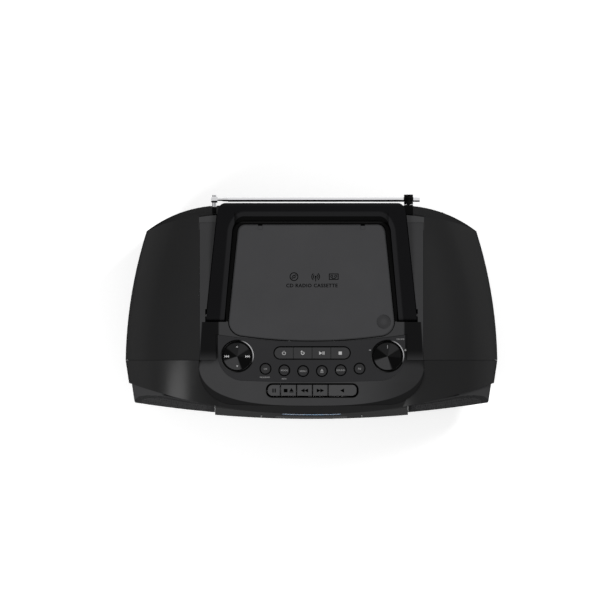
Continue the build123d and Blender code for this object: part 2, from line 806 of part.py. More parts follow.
door_low = door_base_z + door_gap
lug_x = door_half + 1.0
with BuildPart() as panel_flange:
    add(face_block(centre_proud - 1))
    add(front_barrel(grille_inset), mode=Mode.INTERSECT)
    Box(2 * centre_half, 400, 400, mode=Mode.INTERSECT)
    Box(2 * (centre_half - wall), 400, 400, mode=Mode.SUBTRACT)
    with Locations((0, cheek_back_y + 50 + 1.5, 0)):
        Box(400, 100, 400, mode=Mode.SUBTRACT)
    for side in (-1, 1):
        with Locations((side * (lug_x + 1.5), door_axis_y + 3, door_axis_z)):
            Box(3, 11, 10)
    add(face_block(centre_proud - 1), mode=Mode.INTERSECT)

with BuildPart() as front_panel:
    add(centre_skin.part)
    add(panel_flange.part)
    add(face_cut(door_half, door_base_z - 1.4, door_top_z, door_corner), mode=Mode.SUBTRACT)
    add(face_cut(display_half, display_base_z, display_top_z, 2.5), mode=Mode.SUBTRACT)
    with Locations(Location((0, door_axis_y, door_axis_z), (0, 90, 0))):
        Cylinder(door_pin_radius + running_gap, 2 * (lug_x + 3.5), mode=Mode.SUBTRACT)
save(front_panel, "front_panel")

with BuildPart() as door_carrier:
    for side in (-1, 1):
        with Locations((side * (cheek_x + 0.75), cheek_back_y, door_low + 2)):
            Box(1.5, 20, cheek_height, align=(Align.CENTER, Align.MAX, Align.MIN))
    with Locations((0, cheek_back_y, door_low + 2)):
        Box(2 * cheek_x + 3, 20, 1.6, align=(Align.CENTER, Align.MAX, Align.MIN))
    with Locations(Location((0, door_axis_y, door_axis_z), (0, 90, 0))):
        Cylinder(door_pin_radius, 2 * (lug_x + 2.6))
        Cylinder(door_pin_radius + 1, 2 * cheek_x, mode=Mode.SUBTRACT)
    add(face_block(centre_proud - 1), mode=Mode.INTERSECT)

with BuildPart() as cassette_door:
    add(centre_skin.part)
    add(face_cut(door_half - door_gap, door_low, door_top_z - door_gap, door_corner - door_gap),
        mode=Mode.INTERSECT)
    add(door_carrier.part)
save(cassette_door, "cassette_door")

with BuildPart() as display_window:
    add(face_block(centre_proud - 0.3))
    add(face_block(centre_proud - centre_thickness + 0.6), mode=Mode.SUBTRACT)
    add(face_cut(display_half - 0.15, display_base_z + 0.15, display_top_z - 0.15, 2.4), mode=Mode.INTERSECT)
save(display_window, "display_window")

with BuildPart() as display_module:
    module_front = grille_top_y + 1.2
    with Locations((0, module_front, (display_base_z + display_top_z) / 2)):
        Box(2 * display_half + 10, 5, display_top_z - display_base_z + 4, align=(Align.CENTER, Align.MIN, Align.CENTER))
    with Locations((0, module_front + 5, (display_base_z + display_top_z) / 2)):
        Box(2 * display_half + 22, 1.6, display_top_z - display_base_z + 8,
            align=(Align.CENTER, Align.MIN, Align.CENTER))
save(display_module, "display_module")

# Speaker grilles: bowed sheets that turn back into the cabinet, pierced with staggered slots
with BuildPart() as behind_grilles:
    add(face_block(-grille_thickness))
    add(front_barrel(grille_inset + grille_thickness), mode=Mode.INTERSECT)

with BuildPart() as speaker_grilles:
    add(face_block(0))
    add(front_barrel(grille_inset), mode=Mode.INTERSECT)
    add(behind_grilles.part, mode=Mode.SUBTRACT)
    with BuildSketch() as back_region:
        with BuildLine():
            back = rim_y + 7
            ThreePointArc((-rim_side_x, rim_side_y + 7), (0, back), (rim_side_x, rim_side_y + 7))
            Polyline((rim_side_x, rim_side_y + 7), (rim_side_x + 30, seam_y + 9), (-rim_side_x - 30, seam_y + 9),
                     (-rim_side_x, rim_side_y + 7))
        make_face()
    extrude(amount=200, mode=Mode.SUBTRACT)
    Box(2 * (centre_half + seat_gap), 400, 400, mode=Mode.SUBTRACT)
    with BuildSketch(at_y(seam_y)) as slots:
        columns = 7
        rows = 21
        slot_x = centre_half + 48
        slot_z = face_full_z + 12
        for side in (-1, 1):
            for row in range(rows):
                shift = slot_pitch[0] / 4 * (1 if row % 2 else -1)
                z = slot_z + (row - (rows - 1) / 2) * slot_pitch[1]
                with Locations((side * (slot_x + shift), z)):
                    with GridLocations(slot_pitch[0], 1, columns, 1):
                        Rectangle(*slot_size)
        add(barrel(seam_y, nose_half - 9, nose_top - 12, nose_flat_half, nose_widest, foot_height + 12,
                   nose_base_half - 6), mode=Mode.INTERSECT)
        Rectangle(2 * (centre_half + 4), 400, mode=Mode.SUBTRACT)
    extrude(amount=90, mode=Mode.SUBTRACT)
save(speaker_grilles, "speaker_grilles")

# Four joined pill keys
pill_width = (pill_right - pill_left) / pill_count
for i, name in enumerate(("power_key", "repeat_key", "play_key", "stop_key")):
    with BuildPart() as key:
        middle = pill_left + (i + 0.5) * pill_width
        with BuildSketch(pill_plane.offset(-wall - seat_gap)):
            with Locations(((pill_left + pill_right) / 2, 0)):
                SlotOverall(pill_right - pill_left, pill_depth)
            key_left = pill_left + i * pill_width + (key_gap / 2 if i else -1)
            key_right = pill_left + (i + 1) * pill_width - (key_gap / 2 if i < pill_count - 1 else -1)
            with Locations(((key_left + key_right) / 2, 0)):
                Rectangle(key_right - key_left, 2 * pill_depth, mode=Mode.INTERSECT)
        extrude(amount=wall + seat_gap + key_rise)
        chamfer(top_edges(key, pill_plane), 0.3)
        with BuildSketch(pill_plane.offset(-wall - seat_gap)):
            with Locations((middle, 0)):
                Rectangle(pill_width - 8, pill_depth + 2 * key_gap + 2.4)
        extrude(amount=-1)
    save(key, name)

for i, (x, y) in enumerate(button_places):
    with BuildPart() as button:
        with BuildSketch(slope_plane(y, panel_angle).offset(-wall - seat_gap)):
            with Locations((x, 0)):
                Circle(button_radius)
        extrude(amount=wall + seat_gap + key_rise)
        chamfer(top_edges(button, pill_plane), 0.6)
        with BuildSketch(slope_plane(y, panel_angle).offset(-wall - seat_gap)):
            with Locations((x, 0)):
                Circle(button_radius + button_gap + 1.2)
        extrude(amount=-1)
    save(button, f"mode_button_{i + 1}")

# Five cassette keys: a rounded cap on a lever that turns on the common rod
tape_names = ("tape_pause_key", "tape_stop_key", "tape_rewind_key", "tape_forward_key", "tape_play_key")
for i, name in enumerate(tape_names):
    left = tape_key_edges[i] + (tape_key_gap / 2 if i else 0)
    right = tape_key_edges[i + 1] - (tape_key_gap / 2 if i < len(tape_names) - 1 else 0)
    middle = (left + right) / 2
    with BuildPart() as key:
        with BuildSketch(tape_plane.offset(tape_key_rise - tape_key_thickness)):
            with Locations(((tape_key_edges[0] + tape_key_edges[-1]) / 2, 0)):
                RectangleRounded(tape_key_edges[-1] - tape_key_edges[0], tape_key_depth, 6)
            low_x = left - (0 if i else 1)
            high_x = right + (0 if i < len(tape_names) - 1 else 1)
            with Locations(((low_x + high_x) / 2, 0)):
                Rectangle(high_x - low_x, 2 * tape_key_depth, mode=Mode.INTERSECT)
        extrude(amount=tape_key_thickness)
        chamfer(top_edges(key, tape_plane), 0.8)
        low_cap = tape_plane.offset(tape_key_rise - tape_key_thickness + 0.5)
        front_point = low_cap.from_local_coords(Vector(0, -4, 0))
        back_point = low_cap.from_local_coords(Vector(0, 5, 0))
        with BuildSketch(Plane.YZ.offset(middle)):
            with BuildLine():
                Polyline((front_point.Y, front_point.Z), (back_point.Y, back_point.Z), (key_rod_y + 1, key_rod_z + 2.8),
                         (key_rod_y - 1, key_rod_z - 2.8), (front_point.Y + 2, front_point.Z - 5), close=True)
            make_face()
        extrude(amount=lever_width / 2, both=True)
        with Locations(Location((middle, key_rod_y, key_rod_z), (0, 90, 0))):
            Cylinder(key_rod_radius + 1.6, lever_width)
            Cylinder(key_rod_radius + running_gap, 2 * lever_width, mode=Mode.SUBTRACT)
    save(key, name)

# Dials
with BuildPart() as nav_dial:
    with BuildSketch(dial_plane.offset(1.2 - dial_recess_depth)):
        with Locations((dial_x, 0)):
            Circle(dial_radius)
    extrude(amount=dial_recess_depth - 1.2 + dial_rise)
    chamfer(top_edges(nav_dial, dial_plane), 0.8)
    with BuildSketch(dial_plane.offset(1.2 - dial_recess_depth)):
        with Locations((dial_x, 0)):
            Circle(shaft_radius)
    extrude(amount=dial_recess_depth - 1.2 - nav_shaft_end)
save(nav_dial, "nav_dial")

with BuildPart() as volume_knob:
    with BuildSketch(dial_plane.offset(0.5 - dial_recess_depth)):
        with Locations((knob_x, 0)):
            Circle(dial_radius)
    extrude(amount=dial_recess_depth - 0.5 + dial_rise)
    chamfer(top_edges(volume_knob, dial_plane), 0.8)
    with BuildSketch(dial_plane.offset(0.5 - dial_recess_depth)):
        with Locations((knob_x, 0)):
            Circle(shaft_radius)
    extrude(amount=-wall - 5.5)
save(volume_knob, "volume_knob")

# Antenna: a swivel with the outer tube, a middle tube and the tip with its cap
with BuildPart() as antenna_tube:
    with Locations(Location((0, rod_y, antenna_z), (0, 90, 0))):
        with Locations((0, 0, antenna_x + rod_stub)):
            Cylinder(rod_radius, antenna_x + rod_stub - rod_tip_x, align=(Align.CENTER, Align.CENTER, Align.MAX))
    with Locations(Location((antenna_x, swivel_front_y, antenna_z), (-90, 0, 0))):
        Cylinder(3.2, swivel_back_y - swivel_front_y, align=(Align.CENTER, Align.CENTER, Align.MIN))
        Cylinder(swivel_radius, 3.8, align=(Align.CENTER, Align.CENTER, Align.MIN))
        with Locations((0, 0, swivel_back_y - swivel_front_y)):
            Cylinder(swivel_radius, 4.6, align=(Align.CENTER, Align.CENTER, Align.MAX))
        Cylinder(1.8 + running_gap, 4.4, align=(Align.CENTER, Align.CENTER, Align.MIN), mode=Mode.SUBTRACT)
    with Locations(Location((0, rod_y, antenna_z), (0, 90, 0))):
        with Locations((0, 0, rod_tip_x - 1)):
            Cylinder(rod_radius - rod_wall, antenna_x - swivel_radius - rod_tip_x - 2,
                     align=(Align.CENTER, Align.CENTER, Align.MIN), mode=Mode.SUBTRACT)
save(antenna_tube, "antenna_tube")

middle_radius = rod_radius - rod_wall - running_gap
tip_radius = middle_radius - rod_wall - running_gap
middle_end = rod_tip_x - section_step
tip_end = middle_end - section_step
tube_floor = antenna_x - swivel_radius - 6
with BuildPart() as antenna_middle:
    with Locations(Location((middle_end, rod_y, antenna_z), (0, 90, 0))):
        Cylinder(middle_radius, tube_floor - middle_end, align=(Align.CENTER, Align.CENTER, Align.MIN))
        Cylinder(middle_radius - rod_wall, 2 * (tube_floor - middle_end - 4), mode=Mode.SUBTRACT)
save(antenna_middle, "antenna_middle")

with BuildPart() as antenna_tip:
    with Locations(Location((tip_end, rod_y, antenna_z), (0, 90, 0))):
        Cylinder(tip_radius, tube_floor - 8 - tip_end, align=(Align.CENTER, Align.CENTER, Align.MIN))
        Cylinder(tip_cap_radius, tip_cap_length, align=(Align.CENTER, Align.CENTER, Align.MAX))
    chamfer(antenna_tip.faces().sort_by(Axis.X)[0].edges(), 0.8)
save(antenna_tip, "antenna_tip")

# Bracket of the antenna's swivel, and the cradle of its tip
with BuildPart() as antenna_brackets:
    with Locations((antenna_x, swivel_front_y - seat_gap, antenna_z)):
        Box(2 * swivel_radius, 16, 2 * swivel_radius, align=(Align.CENTER, Align.MAX, Align.CENTER))
    with Locations(Location((antenna_x, swivel_front_y - seat_gap, antenna_z), (-90, 0, 0))):
        Cylinder(1.8, 4.2, align=(Align.CENTER, Align.CENTER, Align.MIN))
    cradle_x = tip_end - tip_cap_length / 2
    cradle_z = antenna_z - tip_cap_radius - seat_gap
    cradle_back = rod_y + tip_cap_radius + seat_gap + 1.2
    with Locations((cradle_x, cradle_back, cradle_z)):
        Box(5, cradle_back - 102, 2.4, align=(Align.CENTER, Align.MAX, Align.MAX))
    for y in (cradle_back, rod_y - tip_cap_radius - seat_gap):
        with Locations((cradle_x, y, cradle_z)):
            Box(5, 1.2, 4, align=(Align.CENTER, Align.MAX, Align.MIN))
    add(rear_block(0), mode=Mode.SUBTRACT)
save(antenna_brackets, "antenna_brackets")

# Battery door: a piece of the back face that tilts out on two small pins
with BuildPart() as battery_door:
    add(rear_block(0))
    add(rear_block(wall), mode=Mode.SUBTRACT)
    with Locations((0, rear_y, (battery_base_z + battery_top_z) / 2 + 0.3)):
        Box(2 * (battery_half - 0.5), 60, battery_top_z - battery_base_z - 1.4, mode=Mode.INTERSECT)
    with Locations(Location((0, battery_axis_y, battery_axis_z), (0, 90, 0))):
        Cylinder(0.9, 2 * (battery_half + 1.2))
save(battery_door, "battery_door")

# Feet and the screws in the back
with BuildPart() as rubber_feet:
    with Locations(*[(x, y, 0) for x in (-foot_x, foot_x) for y in (foot_front_y, foot_back_y)]):
        Cylinder(foot_radius, foot_height, align=(Align.CENTER, Align.CENTER, Align.MIN))
    chamfer(rubber_feet.faces().group_by(Axis.Z)[0].edges(), 1)
save(rubber_feet, "rubber_feet")

with BuildPart() as cabinet_screws:
    for x, z in screw_places:
        with Locations(Location((x, back_surface(z) - screw_recess, z), (-90, 0, 0))):
            Cylinder(screw_head_radius, 1.4, align=(Align.CENTER, Align.CENTER, Align.MIN))
            Cylinder(screw_radius, 14, align=(Align.CENTER, Align.CENTER, Align.MAX))
            with Locations((0, 0, 1.4)):
                Box(0.9, 4, 1.4, mode=Mode.SUBTRACT)
                Box(4, 0.9, 1.4, mode=Mode.SUBTRACT)
save(cabinet_screws, "cabinet_screws")

# Mains inlet with two pins, and the two jack sockets
inlet_floor = 98.6
with BuildPart() as mains_inlet:
    with Locations((inlet_x, inlet_floor - 3, inlet_z)):
        Box(inlet_size[0] + 4.2, 40, inlet_size[1] + 4.2, align=(Align.CENTER, Align.MIN, Align.CENTER))
    add(rear_block(0.3), mode=Mode.INTERSECT)
    with Locations((inlet_x, inlet_floor, inlet_z)):
        Box(inlet_size[0], 40, inlet_size[1], align=(Align.CENTER, Align.MIN, Align.CENTER), mode=Mode.SUBTRACT)
    for side in (-1, 1):
        with Locations(Location((inlet_x + side * 4.3, inlet_floor - 1, inlet_z), (-90, 0, 0))):
            Cylinder(1.2, inlet_depth - 3, align=(Align.CENTER, Align.CENTER, Align.MIN))
save(mains_inlet, "mains_inlet")

with BuildPart() as jack_sockets:
    for x, mouth in ((jack_x, jack_mouths[0]), (jack_x + jack_pitch, jack_mouths[1])):
        with Locations(Location((x, mouth, jack_z), (-90, 0, 0))):
            Cylinder(jack_body, jack_length, align=(Align.CENTER, Align.CENTER, Align.MAX))
            Cylinder(jack_bore, jack_length - 3, align=(Align.CENTER, Align.CENTER, Align.MAX), mode=Mode.SUBTRACT)
        with Locations((x, mouth - 6, jack_z)):
            Box(11, 8, 11, align=(Align.CENTER, Align.MAX, Align.CENTER))
            with Locations(Location((0, 6, 0), (-90, 0, 0))):
                Cylinder(jack_bore, jack_length - 3, align=(Align.CENTER, Align.CENTER, Align.MAX), mode=Mode.SUBTRACT)
save(jack_sockets, "jack_sockets")

# Contacts at both ends of the battery compartment
with BuildPart() as battery_contacts:
    for side in (-1, 1):
        for z in (26.0, 50.0):
            with Locations((side * (battery_half - 0.4), 99, z)):
                Box(0.8, 14, 18)
            with Locations(Location((side * (battery_half - 0.8 - 2), 99, z), (0, 90, 0))):
                Cylinder(3.5, 4)
save(battery_contacts, "battery_contacts")

# Loudspeakers behind the grilles
with BuildPart() as speaker_baskets:
    for x in (-speaker_x, speaker_x):
        with BuildSketch(Plane.XY.offset(speaker_z)):
            with BuildLine():
                Polyline((x, -67), (x + 20, -67), (x + 38.2, baffle_y), (x + 38.2, baffle_y - 2),
                         (x + speaker_radius, baffle_y - 2), (x + speaker_radius, baffle_y),
                         (x + 39.6, baffle_y), (x + 24, -67), (x + 24, -56), (x, -56), close=True)
            make_face()
        revolve(axis=Axis((x, 0, speaker_z), (0, 1, 0)))
save(speaker_baskets, "speaker_baskets")

with BuildPart() as speaker_cones:
    for x in (-speaker_x, speaker_x):
        with BuildSketch(Plane.XY.offset(speaker_z)):
            with BuildLine():
                Polyline((x, -76.5), (x + 7, -75), (x + 9.5, -72.6), (x + 34, -83.6), (x + 37.6, -83.6),
                         (x + 37.6, -84.8), (x + 33.6, -84.8), (x + 9.8, -73.9), (x + 7.4, -76.2), (x, -77.7),
                         close=True)
            make_face()
        revolve(axis=Axis((x, 0, speaker_z), (0, 1, 0)))
save(speaker_cones, "speaker_cones")

# Main board on four posts, and the mains transformer on the floor
with BuildPart() as main_board:
    with Locations((board_middle[0], board_middle[1], board_height)):
        Box(*board_size, 1.6, align=(Align.CENTER, Align.CENTER, Align.MIN))
    with Locations((board_middle[0] - 50, board_middle[1] + 20, board_height + 1.6)):
        Cylinder(9, 26, align=(Align.CENTER, Align.CENTER, Align.MIN))
    with Locations((board_middle[0] - 50, board_middle[1] - 8, board_height + 1.6)):
        Cylinder(6.5, 20, align=(Align.CENTER, Align.CENTER, Align.MIN))
    with Locations((board_middle[0], board_middle[1] + 30, board_height + 1.6)):
        Box(44, 8, 24, align=(Align.CENTER, Align.CENTER, Align.MIN))
    with Locations((board_middle[0] + 50, board_middle[1] + 5, board_height + 1.6)):
        Box(28, 36, 12, align=(Align.CENTER, Align.CENTER, Align.MIN))
    with Locations((board_middle[0] + 2, board_middle[1] - 12, board_height + 1.6)):
        Box(30, 14, 3, align=(Align.CENTER, Align.CENTER, Align.MIN))
save(main_board, "main_board")

with BuildPart() as mains_transformer:
    with Locations((transformer_place[0], transformer_place[1], foot_height + wall)):
        Box(66, 40, 2, align=(Align.CENTER, Align.CENTER, Align.MIN))
        Box(48, 26, 42, align=(Align.CENTER, Align.CENTER, Align.MIN))
        Box(32, 44, 32, align=(Align.CENTER, Align.CENTER, Align.MIN))
save(mains_transformer, "mains_transformer")

# Key board behind the control panel, with one switch under every key and the volume encoder
board_plane = slope_plane(key_board_y, panel_angle)


def on_board(x, y):
    """Local place on the key board under the point (x, y) of the panel."""
    return (x, (y - key_board_y) / cos(panel_angle))


with BuildPart() as key_board:
    with BuildSketch(board_plane.offset(-key_board_drop)):
        RectangleRounded(2 * key_board_half, 40, 3)
        with Locations(on_board(knob_x, dial_y)):
            Circle(3.6, mode=Mode.SUBTRACT)
    extrude(amount=-1.6)
    with BuildSketch(board_plane.offset(-key_board_drop)):
        pill_pitch = (pill_right - pill_left) / pill_count
        with Locations(*[on_board(pill_left + (i + 0.5) * pill_pitch, pill_y) for i in range(pill_count)]):
            Rectangle(6, 6)
        with Locations(*[on_board(x, y) for x, y in button_places]):
            Rectangle(6, 6)
    extrude(amount=switch_height)
    # Pivot under the navigation dial
    with BuildSketch(board_plane.offset(-key_board_drop)):
        with Locations(on_board(dial_x, dial_y)):
            Circle(1)
    extrude(amount=key_board_drop - nav_shaft_end - running_gap)
    with BuildSketch(board_plane.offset(-key_board_drop - 4.4)):
        with Locations(on_board(knob_x, dial_y)):
            Circle(6)
            Circle(shaft_radius + running_gap, mode=Mode.SUBTRACT)
    extrude(amount=5.0)
    with BuildSketch(board_plane.offset(-key_board_drop)):
        with Locations(on_board(knob_x, dial_y)):
            Circle(shaft_radius + running_gap)
    extrude(amount=-8, mode=Mode.SUBTRACT)
save(key_board, "key_board")

# Disc mechanism: chassis under the well, rails, motors, turntable, sled, lens and screw
with BuildPart() as cd_chassis:
    with Locations((0, 8, chassis_z)):
        Box(2 * chassis_half, 108, 2.5, align=(Align.CENTER, Align.CENTER, Align.MAX))
    with Locations(*[(x, y, chassis_z) for x in (-chassis_post_x, chassis_post_x) for y in (-18, 57)]):
        Cylinder(3, well_floor - wall - chassis_z, align=(Align.CENTER, Align.CENTER, Align.MIN))
    for y in (rail_front_y, rail_back_y):
        with Locations((-rail_x, y, chassis_z)):
            Box(6, 3, rail_z + 3 - chassis_z, align=(Align.CENTER, Align.CENTER, Align.MIN))
        with Locations(((rail_x - 3 + screw_x + 3.5) / 2, y, chassis_z)):
            Box(screw_x - rail_x + 6.5, 3, rail_z + 3 - chassis_z, align=(Align.CENTER, Align.CENTER, Align.MIN))
    for x, radius in ((-rail_x, rail_radius), (rail_x, rail_radius), (screw_x, rail_radius + running_gap)):
        with Locations(Location((x, (rail_front_y + rail_back_y) / 2, rail_z), (90, 0, 0))):
            Cylinder(radius, 100, mode=Mode.SUBTRACT)
save(cd_chassis, "cd_chassis")

with BuildPart() as sled_rails:
    for x in (-rail_x, rail_x):
        with Locations(Location((x, (rail_front_y + rail_back_y) / 2, rail_z), (90, 0, 0))):
            Cylinder(rail_radius, rail_back_y - rail_front_y + 3)
save(sled_rails, "sled_rails")

with BuildPart() as sled_screw:
    with Locations(Location((screw_x, rail_back_y + 1.5, rail_z), (90, 0, 0))):
        Cylinder(rail_radius, rail_back_y - rail_front_y + 3, align=(Align.CENTER, Align.CENTER, Align.MIN))
save(sled_screw, "sled_screw")

with BuildPart() as laser_sled:
    with Locations((0, sled_y, (sled_low + sled_high) / 2)):
        Box(2 * rail_x, 18, sled_high - sled_low)
    with Locations((0, lens_y, sled_high)):
        Cylinder(4.6, 4, align=(Align.CENTER, Align.CENTER, Align.MIN))
    for x in (-rail_x, rail_x):
        with Locations(Location((x, sled_y, rail_z), (90, 0, 0))):
            Cylinder(3, 18)
    with Locations(((rail_x + screw_x + 3.5) / 2, sled_y, rail_z)):
        Box(screw_x + 3.5 - rail_x, 6, 6.4)
    for x in (-rail_x, rail_x, screw_x):
        with Locations(Location((x, sled_y, rail_z), (90, 0, 0))):
            Cylinder(rail_radius + running_gap, 30, mode=Mode.SUBTRACT)
    with Locations((0, lens_y, sled_high + 4)):
        Cylinder(3.6, 1.2, mode=Mode.SUBTRACT)
save(laser_sled, "laser_sled")

with BuildPart() as pickup_lens:
    with Locations((0, lens_y, sled_high + 3.4)):
        Cylinder(3.6, 1.4, align=(Align.CENTER, Align.CENTER, Align.MIN))
    chamfer(pickup_lens.faces().sort_by(Axis.Z)[-1].edges(), 0.5)
save(pickup_lens, "pickup_lens")

with BuildPart() as turntable:
    with Locations((0, disc_y, disc_rest - 2.8)):
        Cylinder(15, 2.8, align=(Align.CENTER, Align.CENTER, Align.MIN))
        Cylinder(5, 1.5, align=(Align.CENTER, Align.CENTER, Align.MAX))
    with Locations((0, disc_y, disc_rest)):
        Cylinder(7.4, 3.2, align=(Align.CENTER, Align.CENTER, Align.MIN))
    chamfer(turntable.faces().sort_by(Axis.Z)[-1].edges(), 1)
    with Locations((0, disc_y, disc_rest - 5)):
        Cylinder(1 + running_gap, 6, align=(Align.CENTER, Align.CENTER, Align.MIN), mode=Mode.SUBTRACT)
save(turntable, "turntable")

# Cassette mechanism: chassis plate with ears for the key rod, reel spindles, flywheel and head plate
with BuildPart() as cassette_chassis:
    with Locations((0, plate_y, foot_height + wall)):
        Box(2 * plate_half, plate_thickness, plate_top - foot_height - wall,
            align=(Align.CENTER, Align.MIN, Align.MIN))
        Box(2 * plate_half, 14, 1.5, align=(Align.CENTER, Align.MIN, Align.MIN))
    for side in (-1, 1):
        with BuildSketch(Plane.YZ.offset(side * (plate_half - 1))):
            with BuildLine():
                Polyline((plate_y + 0.5, plate_top - 30), (plate_y + 0.5, plate_top), (key_rod_y - 5, key_rod_z + 4),
                         (key_rod_y + 4, key_rod_z + 4), (key_rod_y + 4, key_rod_z - 4), close=True)
            make_face()
        extrude(amount=1, both=True)
    with Locations(Location((0, key_rod_y, key_rod_z), (0, 90, 0))):
        Cylinder(key_rod_radius, 200, mode=Mode.SUBTRACT)
    for x in (-reel_x, reel_x):
        with Locations(Location((x, plate_y, reel_z), (90, 0, 0))):
            Cylinder(2 + running_gap, 20, mode=Mode.SUBTRACT)
    with Locations(Location((capstan_x, plate_y, capstan_z), (90, 0, 0))):
        Cylinder(1 + running_gap, 20, mode=Mode.SUBTRACT)
    for x in (-guide_x, guide_x):
        with Locations(Location((x, plate_y + 0.5, guide_z), (90, 0, 0))):
            Cylinder(1.5, 3, align=(Align.CENTER, Align.CENTER, Align.MIN))
            with Locations((0, 0, 2.8)):
                Cylinder(2.6, 0.9, align=(Align.CENTER, Align.CENTER, Align.MIN))
    # Bracket that carries the tape motor
    with Locations((motor_x, bracket_y, motor_z)):
        Box(30, 1.2, 30, align=(Align.CENTER, Align.MIN, Align.CENTER))
    for x in (motor_x - 12, motor_x + 12):
        for z in (motor_z - 12, motor_z + 12):
            with Locations(Location((x, plate_y + 0.5, z), (-90, 0, 0))):
                Cylinder(1.6, bracket_y - plate_y, align=(Align.CENTER, Align.CENTER, Align.MIN))
    with Locations(Location((motor_x, bracket_y, motor_z), (90, 0, 0))):
        Cylinder(2.2, 20, mode=Mode.SUBTRACT)
save(cassette_chassis, "cassette_chassis")

for name, x in (("supply_spindle", -reel_x), ("takeup_spindle", reel_x)):
    with BuildPart() as spindle:
        with Locations(Location((x, plate_y - 0.3, reel_z), (90, 0, 0))):
            Cylinder(8, 1.4, align=(Align.CENTER, Align.CENTER, Align.MIN))
            Cylinder(3.4, spindle_reach, align=(Align.CENTER, Align.CENTER, Align.MIN))
            with Locations((0, 0, spindle_reach - 2.5)):
                with PolarLocations(0, 3):
                    Box(9.4, 1.2, 5)
        with Locations(Location((x, plate_y - 0.4, reel_z), (-90, 0, 0))):
            Cylinder(2, plate_thickness + 2.7, align=(Align.CENTER, Align.CENTER, Align.MIN))
            with Locations((0, 0, plate_thickness + 0.7)):
                Cylinder(9, 2, align=(Align.CENTER, Align.CENTER, Align.MIN))
    save(spindle, name)

with BuildPart() as flywheel:
    with Locations(Location((capstan_x, flywheel_y, capstan_z), (-90, 0, 0))):
        Cylinder(flywheel_radius, flywheel_width, align=(Align.CENTER, Align.CENTER, Align.MIN))
        Cylinder(4, flywheel_width + 2, align=(Align.CENTER, Align.CENTER, Align.MIN))
    with Locations(Location((capstan_x, flywheel_y + 2, capstan_z), (90, 0, 0))):
        Cylinder(1, flywheel_y + 2 - capstan_front_y, align=(Align.CENTER, Align.CENTER, Align.MIN))
save(flywheel, "flywheel")

roller_z = capstan_z + 1 + roller_radius + 0.15 + head_travel
with BuildPart() as head_plate:
    with BuildSketch(at_y(head_plate_y)):
        with Locations((0, (head_low + head_top) / 2)):
            RectangleRounded(84, head_top - head_low, 2)
        with Locations((capstan_x, (roller_z + head_top) / 2)):
            RectangleRounded(10, head_top - roller_z + 6, 2)
        for x in (-guide_x, guide_x):
            with Locations((x, guide_z + head_travel / 2 + 0.1)):
                SlotOverall(head_travel + 3.4, 3.2, rotation=90, mode=Mode.SUBTRACT)
    extrude(amount=1.5)
    with Locations((0, head_plate_y - 1, head_low + 2)):
        Box(13, 9.5, 5.2, align=(Align.CENTER, Align.MAX, Align.MAX))
    with Locations(Location((capstan_x, head_plate_y - 1, roller_z), (90, 0, 0))):
        Cylinder(1, 8.4, align=(Align.CENTER, Align.CENTER, Align.MIN))
save(head_plate, "head_plate")

with BuildPart() as pinch_roller:
    with Locations(Location((capstan_x, head_plate_y - 1.8, roller_z), (90, 0, 0))):
        Cylinder(roller_radius, 6.4, align=(Align.CENTER, Align.CENTER, Align.MIN))
        Cylinder(1 + running_gap, 20, mode=Mode.SUBTRACT)
save(pinch_roller, "pinch_roller")

# The three motors: disc, sled and tape
with BuildPart() as drive_motors:
    with Locations((0, disc_y, chassis_z)):
        Cylinder(14, 10, align=(Align.CENTER, Align.CENTER, Align.MIN))
        Cylinder(1, disc_rest - 0.4 - chassis_z, align=(Align.CENTER, Align.CENTER, Align.MIN))
    with Locations(Location((screw_x, rail_back_y + 1.8, rail_z), (-90, 0, 0))):
        Cylinder(5, 16, align=(Align.CENTER, Align.CENTER, Align.MIN))
    with Locations(Location((motor_x, bracket_y + 1.2, motor_z), (-90, 0, 0))):
        Cylinder(11, 20, align=(Align.CENTER, Align.CENTER, Align.MIN))
    with Locations(Location((motor_x, bracket_y + 1.4, motor_z), (90, 0, 0))):
        Cylinder(1, 8, align=(Align.CENTER, Align.CENTER, Align.MIN))
        with Locations((0, 0, 3.9)):
            Cylinder(pulley_radius, 3, align=(Align.CENTER, Align.CENTER, Align.MIN))
save(drive_motors, "drive_motors")

# Belt from the motor's pulley round the flywheel
belt_middle = flywheel_y + flywheel_width / 2
with BuildPart() as drive_belt:
    with BuildSketch(at_y(belt_middle)):
        with BuildSketch(Plane.XY) as belt_outer:
            with Locations((capstan_x, capstan_z)):
                Circle(flywheel_radius + 1)
            with Locations((motor_x, motor_z)):
                Circle(pulley_radius + 1)
        add(make_hull(belt_outer.sketch.edges()))
        with BuildSketch(Plane.XY) as belt_inner:
            with Locations((capstan_x, capstan_z)):
                Circle(flywheel_radius + 0.1)
            with Locations((motor_x, motor_z)):
                Circle(pulley_radius + 0.1)
        add(make_hull(belt_inner.sketch.edges()), mode=Mode.SUBTRACT)
    extrude(amount=0.7, both=True)
save(drive_belt, "drive_belt")
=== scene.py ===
import math
import bpy
import bmesh
from mathutils import Matrix, Vector
from mathutils.bvhtree import BVHTree


